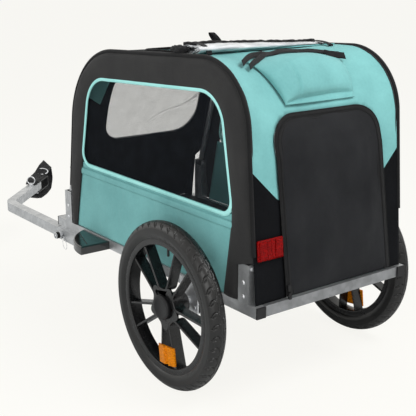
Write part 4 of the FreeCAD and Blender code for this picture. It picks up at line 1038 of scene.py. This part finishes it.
def roof_flap():
    """The stuffed flap over the back of the roof: a pillow hanging from a strap above a flat hem."""
    end, wide, tall, lean = on_rear(0.677), 0.25, 0.19, 0.004
    top_half, taper, top_gap, flat = 0.134, 0.030, 0.010, 0.018

    def half_at(down):
        return top_half - taper * down

    def place(u, v):
        side, down = v / wide * 2 - 1, u / tall
        y = side * half_at(down) - lean * down
        start = strap_line(y) - top_gap
        s = start + (end - start) * down
        over = max(1 - abs(side) ** 2.2, 0)
        low = end - 0.003 - 0.014 * over - 0.010 * max(-side, 0)
        fall = clamp((s - start - flat) / (low - start - flat))
        puff = (1 - fall ** 5) ** 0.5 * min(fall / 0.45, 1) ** 0.8 * over ** 0.5
        bent = side - 0.50 - 0.25 * max(fall - 0.7, 0)
        crease = exp(-(bent / 0.035) ** 2) * max(fall - 0.35, 0) * 1.5
        drape = ripple((s * 1.2, y * 0.7, 9), 15, 0.006) + ripple((s, y, 11), 40, 0.0010)
        return on_tunnel(s, y, 0.0036 + 0.036 * puff + puff * (drape - 0.011 * crease))

    flap = cloth_piece("roof_flap_cloth", lattice(tall, wide, 80, 80), place, "teal", 0.0016, 0.5)
    sinks(flap, "roof_flap", body="roof_flap")
    hem = [on_tunnel(end, half_at(1) * (1 - k / 20) - lean, 0.0046) for k in range(41)]
    binding = sinks(tube("roof_flap_binding", hem, 0.0018, "teal"), body="roof_flap")
    flap_strap("flap_strap", -0.140, 0.075, -0.004, 0.013, 0.25)
    flap_strap("flap_loop_upper", 0.070, 0.166, -0.010, 0.010)
    flap_strap("flap_loop_lower", 0.066, 0.154, 0.012, 0.010)
    flap_strap("flap_loop_end", -0.142, -0.100, 0.010, 0.012)


def flap_strap(name, low, high, offset, wide, stand=0.75):
    """A length of the black strap along the flap's top; it opens into a loop at its left end."""
    length = high - low

    def band(u, v):
        y = low + u
        apart = offset * clamp((abs(y) - 0.06) / 0.05)
        lift = 0.0080 + ripple((u, 0, 3), 25, 0.003) + (wide - v) * stand
        return on_tunnel(strap_line(y) + apart - wide / 2 + v + ripple((y, 0, 5), 14, 0.006), y, lift)

    laid = Run([band(length * k / 40, wide / 2) for k in range(41)]).length
    strap = cloth_piece(name, lattice(length, wide, 70, 5), band, "webbing", 0.0016)
    sinks(strap, body="roof_flap")


def rear_reflector():
    """The red lens in its moulded rim: two wide fields beside two narrow, sunk ones."""
    lean = atan(REAR_LEAN)
    out = Vector((-cos(lean), 0, sin(lean)))
    up = Vector((sin(lean), 0, cos(lean)))
    middle = on_tunnel(on_rear(0.374), 0.185, 0.006)
    rim = beads("reflector_rim", [(middle - out * 0.001, up, out)], (0.046, 0.072, 0.007), "red")
    sinks(soft_edge(rim, 0.0025), "rear_reflector")
    for name, aside, wide, raised in (("outer", 0.0218, 0.0200, 0.003), ("inner", 0.0055, 0.0095, 0.0018)):
        spots = [(middle + Vector((0, sign * aside, 0)) + out * raised, up, out) for sign in (-1, 1)]
        sinks(soft_edge(beads(f"reflector_{name}_fields", spots, (0.0385, wide, 0.004), "red"), 0.0012))


# Rain cover

COVER_X, COVER_WIDE, COVER_HIGH = 0.030, 0.0445, 0.0105
COVER_Z = roof_at(COVER_X) + 0.0037 + COVER_HIGH + 0.0003
STRAP_MIDDLE, STRAP_APART = 0.005, 0.185


def cover_left(y):
    """How much of the folded cover is left towards its thin right end."""
    return clamp((y + 0.16) / 0.30)


def rain_cover():
    """The clear rain cover, folded up loosely across the roof under two straps."""
    folds, length, low, around, thin = 2.4, 0.42, -0.205, 0.34, 0.40
    straps = [STRAP_MIDDLE + side * STRAP_APART for side in (-1, 1)]

    def place(u, v):
        share, y = u / around, low + v
        full = cover_left(y)
        shrink, turn = 1 - 0.5 * share, -2 * pi * folds * share - 0.9
        pinch = 1 - 0.3 * sum(exp(-((y - strap) / 0.016) ** 2) for strap in straps)
        across, up = cos(turn), sin(turn)
        crush = 1 + ripple((across * 0.7, y * 9, up * 0.7), 2.4, 0.3, share * 3)
        crush += ripple((across * 2, y * 26, up * 2), 2.0, 0.12, share * 5)
        left = thin + (1 - thin) * full
        reach = COVER_WIDE * shrink * (0.94 + 0.06 * crush) * left
        rise = up * COVER_HIGH * shrink * pinch * crush * left
        x = along(COVER_X - 0.004 + 0.012 * (1 - full)) + across * reach
        base = COVER_Z - COVER_HIGH * 0.60 * (1 - full) - 0.012 * (1 - full) * ROOF_FALL
        z = max(base + rise, COVER_Z - COVER_HIGH + 0.0002) - ROOF_FALL * across * reach
        return Vector((x, y, z))

    cover = cloth_piece("rain_cover", lattice(around, length, 150, 150), place, "vinyl", 0.0008)
    sinks(cover, "rain_cover_roll")
    for index, y in enumerate(straps):
        left = thin + (1 - thin) * cover_left(y)
        roof_strap(index, y, COVER_HIGH * (2 * left - 1) + 0.0016)


def roof_strap(index, y, rise):
    """A strap over the folded cover, sewn down at both ends."""
    half, foot, middle, wide = COVER_WIDE + 0.0018, COVER_Z - COVER_HIGH, along(COVER_X), 0.014
    angles = [pi * k / 30 for k in range(31)]
    arch = [Vector((middle + cos(t) * half, 0, foot + sin(t) * (COVER_HIGH + rise))) for t in angles]
    ends = [Vector((p.x, 0, foot + 0.003 - (p.x - middle) * ROOF_FALL)) for p in (arch[0], arch[-1])]
    line = Run([ends[0], *arch, ends[1]])

    def wavy(u, v):
        return line.at(u) + Vector((0, y - wide / 2 + v + ripple((u, 0, 0), 30, 0.001), 0))

    strap = cloth_piece(f"roof_strap_{index}", lattice(line.length, wide, 64, 4), wavy, "webbing", 0.0015)
    sinks(strap, *(["roof_straps"] if index == 0 else []))


def standing_loop():
    """A webbing loop on the roof that sticks up beside the cover."""
    x, y, wide = 0.125, 0.044, 0.013
    foot = Vector((along(x), y, roof_at(x) + 0.004))
    lean = Vector((0.006, 0.012, 0.019))
    line = Run([foot + Vector((0.010 * sin(t), 0, 0)) + lean * (1 - cos(t)) for t in turns(36)])

    def wrap(u, v):
        return line.at(u) + Vector((0.006 * (v / wide - 0.5), (v - wide / 2) * 0.8, 0))

    loop = cloth_piece("standing_loop", lattice(line.length, wide, 60, 4), wrap, "webbing", 0.0018)
    sinks(loop)


def cover_edge():
    """The black bound edge along the front of the folded cover."""
    x, half, steps = 0.066, 0.2, 80
    line = []
    for k in range(steps + 1):
        y = -half + 2 * half * k / steps
        z = COVER_Z + COVER_HIGH * (1.1 * cover_left(y) - 0.5)
        wave, dip = ripple((0, k * 0.1, 0), 3, 0.008), ripple((0, k * 0.1, 4), 3, 0.003)
        line.append(Vector((along(x) + wave, y, z + dip)))
    sinks(tube("cover_edge", line, 0.0062, "binding", sides=5))


def gathered_end():
    """The gathered black end of the cover's draw cord, tucked beside the band."""
    middle, half = Vector((along(0.052), 0.222, COVER_Z - 0.001)), Vector((0.03, 0.011, 0.0095))
    bm = bmesh.new()
    bmesh.ops.create_uvsphere(bm, u_segments=48, v_segments=32, radius=1)
    uv = bm.loops.layers.uv.verify()
    for face in bm.faces:
        for corner in face.loops:
            corner[uv].uv = corner.vert.co.xy * half.x
    for vert in bm.verts:
        way = vert.co.copy()
        swell = 1 + ripple(way, 2.6, 0.28, 1.0) + ripple(way, 6, 0.12, 2.0)
        fall = Vector((0, 0, way.x * half.x * ROOF_FALL))
        vert.co = middle + way * half * swell - fall
    sinks(keep("cover_end", bm, "webbing"))


# Wheels

SPOKES, SPOKE_TURN = 5, radians(25)
SPOKE_STEP = 2 * pi / SPOKES
TYRE_RING, TYRE_ROUND = 0.176, 0.024


def on_wheel(side):
    """Puts (x, z) in the wheel's plane and the distance outwards into the shared frame."""
    def put(x, z, out):
        return Vector((AXLE_X + x, SIDES[side] * (WHEEL_Y + out), WHEEL_Z + z))

    return put


def spoke_dir(turn):
    return Vector((cos(turn), -sin(turn)))


def bar(thick, low, high, edge):
    """A bar's section with cut corners."""
    half, flat = thick / 2, thick / 2 - edge
    return [(-half, low + edge), (-flat, low), (flat, low), (half, low + edge), (half, high - edge),
            (flat, high), (-flat, high), (-half, high - edge)]


def tread_cut(step, crown, shift):
    """How deep the tread is cut: sipes, hooks, a wavy groove beside the crown and two fine side lines."""
    sipe = abs((step + 0.30 * sin(crown * 3.4) + shift) % 1 - 0.5)
    hook = abs((step + 0.28 - 0.5 * crown + shift) % 1 - 0.5)
    wave = abs(crown - 0.16 - 0.05 * sin(step * 2 * pi))
    cuts = [0.0030 * (sipe > 0.455 and 0.22 < crown < 1.12), 0.0024 * (hook > 0.45 and 0.52 < crown < 0.86),
            0.0024 * (wave < 0.035), 0.0010 * (abs(crown - 1.36) < 0.06 or abs(crown - 2.3) < 0.07)]
    return max(cuts)


def tyre(side, put):
    """The tyre: more of the grid lies on the tread than on the sides."""
    blocks, tread, share = 46, 1.3, 0.76

    def place(u, v):
        half = abs(v - 0.5) * 2
        crown = tread * half / share if half < share else tread + (pi - tread) * (half - share) / (1 - share)
        turn, roll = u * 2 * pi, copysign(crown, v - 0.5)
        cut = tread_cut(turn * blocks / (2 * pi), crown, 0.5 if roll > 0 else 0)
        size = TYRE_ROUND * (1 + 0.02 * cos(crown * 2)) * 0.982 - cut
        ring = TYRE_RING + size * cos(roll)
        return put(ring * cos(turn), ring * sin(turn), size * sin(roll))

    bm = lay(lattice(1, 1, 1104, 60), place)
    bmesh.ops.remove_doubles(bm, verts=bm.verts, dist=1e-6)
    part(keep(side + "_tread", bm, "tyre"), side + "_wheel", side + "_tyre")


def rim_and_webs(side, put):
    """The rim and its five U-shaped webs."""
    half_rim = [(0.154, 0.010), (0.1605, 0.012), (0.1615, 0.0165), (0.158, 0.0178), (0.1505, 0.0178),
                (0.1465, 0.0168), (0.1452, 0.013)]
    rim = half_rim + [(0.1445, 0.0)] + [(radius, -out) for radius, out in reversed(half_rim)]
    part(soften(lathe(side + "_rim", rim, put, "wheel"), 0.0007), side + "_wheel", side + "_wheel")
    rim_reach, hub_reach, rim_aside, hub_aside, bend = 0.147, 0.041, 0.030, 0.0125, 0.0165
    for index in range(SPOKES):
        points = []
        for turn, sign in ((index, -1), (index + 1, 1)):
            way = spoke_dir(SPOKE_TURN + turn * SPOKE_STEP)
            aside = Vector((-way.y, way.x)) * sign
            points += [way * rim_reach + aside * rim_aside, way * hub_reach + aside * hub_aside][::-sign]
        path = Run(rounded(points, [0, bend, bend, 0])).spread(70)
        web = sweep(f"{side}_web_{index}", path, bar(0.0058, -0.0145, 0.0145, 0.0012), put, "wheel")
        part(soften(web, 0.0006), side + "_wheel")


def flange(side, put):
    """The pocketed flange round the hub, with a lobe at each pair of webs."""
    inner, outer, lobe, face = 0.027, 0.0392, 0.017, 0.0128

    def place(u, v):
        off = min(abs((u - SPOKE_TURN - k * SPOKE_STEP + pi) % (2 * pi) - pi) for k in range(SPOKES))
        edge = outer + lobe * cos(min(off * 3.4, pi / 2)) ** 1.5
        spot = spoke_dir(u) * (inner + v * (edge - inner))
        return put(spot.x, spot.y, face)

    bm = lattice(2 * pi, 1, 180, 14)
    for k in range(SPOKES):
        turn = (SPOKE_TURN + k * SPOKE_STEP) % (2 * pi)
        pocket = [(turn - 0.15, 0.24), (turn + 0.15, 0.24), (turn + 0.13, 0.62), (turn - 0.13, 0.62)]
        cut_out(bm, Run(rounded(pocket, [0.04] * 4, True, 4, 8), closed=True))
    lay(bm, place)
    bmesh.ops.remove_doubles(bm, verts=bm.verts, dist=1e-5)
    part(soften(thicken(keep(side + "_flange", bm, "wheel"), 0.004), 0.0006), side + "_wheel")


def hub_and_cap(side, put):
    hub = [(0.0105, -0.040), (0.0265, -0.040), (0.028, -0.038), (0.028, 0.0115), (0.0265, 0.013),
           (0.0105, 0.013)]
    cap = [(0.0, 0.0232), (0.0205, 0.0232), (0.0215, 0.024), (0.0268, 0.024), (0.0285, 0.0232),
           (0.0295, 0.0215), (0.0295, 0.0136), (0.0, 0.0136)]
    part(lathe(side + "_hub", hub, put, "wheel", 96), side + "_wheel")
    part(lathe(side + "_cap", cap, put, "plastic", 96), side + "_wheel", side + "_hub_cap")


def spoke_reflector(side, put):
    """The orange reflector with its two facets, clipped across a pair of spokes."""
    ahead = spoke_dir(SPOKE_TURN + SPOKE_STEP)
    face = [(-0.032, 0.0130), (-0.032, 0.0168), (-0.029, 0.0190), (-0.010, 0.0215), (-0.004, 0.0165),
            (0.000, 0.0165), (0.004, 0.0215), (0.029, 0.0180), (0.032, 0.0160), (0.032, 0.0130)]
    path = [ahead * reach for reach in (0.093, 0.0945, 0.104, 0.115, 0.126, 0.1355, 0.137)]
    item = sweep(side + "_lens", path, face, put, "orange")
    part(soften(item, 0.0008), side + "_wheel", side + "_spoke_reflector")


# Frame, tow arm and hitch details

ROLLED_EDGES = ("left_rail", "right_rail", "front_crossbar", "middle_crossbar", "rear_crossbar", "tow_arm")
BROKEN_EDGES = ("left_hinge_brackets", "right_hinge_brackets", "left_wheel_guard", "right_wheel_guard",
                "rail_end_plugs", "hitch_yoke", "tow_receiver", "frame_fasteners", "left_axle_hanger",
                "right_axle_hanger", "left_axle_block", "right_axle_block", "hitch_bolt")


def soften_frame():
    for name in ROLLED_EDGES:
        soften(nodes[name], 0.0032, 3)
    for name in BROKEN_EDGES:
        soften(nodes[name], 0.0009)


def rivet_heads(side):
    """Domed rivets on the outside of the hinge brackets."""
    low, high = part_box(side + "_hinge_brackets")
    face = high.y if SIDES[side] > 0 else low.y
    round_head = Matrix.Diagonal((0.0052, 0.0026, 0.0052, 1))
    bm = bmesh.new()
    for x in (low.x + 0.017, high.x - 0.017):
        for z in (RAIL_TOP + 0.014, RAIL_TOP + 0.046):
            spot = Matrix.Translation((x, face, z)) @ round_head
            bmesh.ops.create_uvsphere(bm, u_segments=20, v_segments=12, radius=1, matrix=spot)
    part(keep(side + "_bracket_rivets", bm, "bright"), "chassis")


def guard_rib(side):
    """The moulded rib across the wheel guard's top."""
    start, end = Vector((0.372, 0.060)), Vector((0.470, 0.028))
    places = [start.lerp(end, k / 12) for k in range(13)]
    line = [Vector((along(p.x), SIDES[side] * (FRAME_SIDE + p.y), 0.2522)) for p in places]
    part(tube(side + "_guard_rib", line, 0.0009, "plastic"), "chassis")


def on_hitch(reach, across, z):
    """A place by the arm's tip: reach ahead of it, across it and above the ground."""
    ahead, side = Vector((1, -1, 0)).normalized(), Vector((1, 1, 0)).normalized()
    spot = Vector((ARM_CORNER, ARM_Y, 0)) + ahead * (ARM_TAIL + reach) + side * across
    return Vector((along(spot.x), spot.y, z))


def hitch_webbing(name, route, tilts, *covers):
    """Safety webbing by the hitch, along (reach, height) points, tilted across by its two ends' angles."""
    line = Run(rounded(route, [0] + [0.018] * (len(route) - 2) + [0], steps=8))
    wide = 0.040

    def place(u, v):
        spot, across = line.at(u), v - wide / 2
        tilt = radians(tilts[0] + (tilts[1] - tilts[0]) * u / line.length)
        rise = across * sin(tilt) + ripple((u, v, tilts[0]), 18, 0.0015)
        return on_hitch(spot.x, across * cos(tilt), spot.y + rise)

    strap = cloth_piece(name, lattice(line.length, wide, 70, 10), place, "webbing", 0.0018)
    part(strap, "tow_arm", *covers)


def hitch_details():
    """Safety webbing over and under the hitch, its D-ring and rivets."""
    over = [(-0.060, 0.2292), (-0.045, 0.2385), (-0.012, 0.2410), (0.035, 0.2425), (0.078, 0.2540),
            (0.122, 0.2600)]
    under = [(0.121, 0.2570), (0.126, 0.2200), (0.100, 0.1850), (0.040, 0.1775), (-0.020, 0.1775),
             (-0.066, 0.1860), (-0.105, 0.1966)]
    hitch_webbing("webbing_over", over, (0, 44), "safety_strap")
    hitch_webbing("webbing_under", under, (44, 0))
    ring = [on_hitch(0.058 + 0.006 * sin(t), 0.021 * cos(t), 0.2475 + 0.009 * sin(t))
            for t in turns(40, 0)]
    part(tube("strap_ring", ring, 0.0018, "bright", True), "tow_arm")
    ahead, up = Vector((1, 0, 0)), Vector((0, 0, 1))
    spots = [(on_hitch(0.030, 0.009 * sign, 0.2442), ahead, up) for sign in (-1, 1)]
    part(soften(beads("strap_rivets", spots, (0.007, 0.007, 0.002), "bright"), 0.0008), "tow_arm")


def lock_knob():
    """The lock pin's round knob with its rivet, and the thin wire loop beside it on the frame."""
    x, z = along(0.600), ARM_Z
    hook_x, hook_z = x - 0.012, z - 0.0085
    knob = [(0.0, 0.2552), (0.006, 0.2552), (0.0088, 0.2562), (0.0095, 0.2585), (0.0095, 0.2655),
            (0.008, 0.2682), (0.0045, 0.2688), (0.0042, 0.2674), (0.0, 0.2674)]
    rivet = [(0.0, 0.2672), (0.0034, 0.2672), (0.0036, 0.2682), (0.0022, 0.2694), (0.0, 0.2697)]
    collar = [(0.0, 0.2462), (0.0066, 0.2462), (0.0066, 0.2550), (0.0, 0.2550)]
    hook = [(0.0, 0.2452), (0.0026, 0.2452), (0.0026, 0.2486), (0.0018, 0.2494), (0.0, 0.2496)]

    def on_pin(a, b, out):
        return Vector((x + a, out, z + b))

    def on_hook(a, b, out):
        return Vector((hook_x + a, out, hook_z + b))

    def loop(t):
        wide, fall = 0.013 * sin(t) * (0.45 + 0.55 * sin(t / 2)), 1 - cos(t)
        return on_hook(wide - 0.006 * fall, -0.0145 * fall, 0.2478 + 0.0015 * fall)

    part(lathe("lock_knob", knob, on_pin, "plastic", 48), "lock_pin")
    part(lathe("lock_rivet", rivet, on_pin, "bright", 32), "lock_pin")
    part(lathe("lock_collar", collar, on_pin, "bright", 40), "lock_pin")
    part(tube("lock_wire", [loop(t) for t in turns(40, 0)], 0.0007, "bright", True), "chassis")
    part(lathe("lock_wire_rivet", hook, on_hook, "bright", 24), "chassis")


look()
studio()
pale_floor()
dress_frame()
soften_frame()
for side in SIDES:
    padded_border(side)
    lower_cloth(side)
    side_window(side)
    for wheel_piece in (tyre, rim_and_webs, flange, hub_and_cap, spoke_reflector):
        wheel_piece(side, on_wheel(side))
    guard_rib(side)
    rivet_heads(side)
    front_gusset(side)
lock_knob()
hitch_details()
front_cloth()
front_net()
roof_cloth()
rear_cloth()
rear_door()
roof_flap()
rain_cover()
standing_loop()
cover_edge()
gathered_end()
rear_reflector()
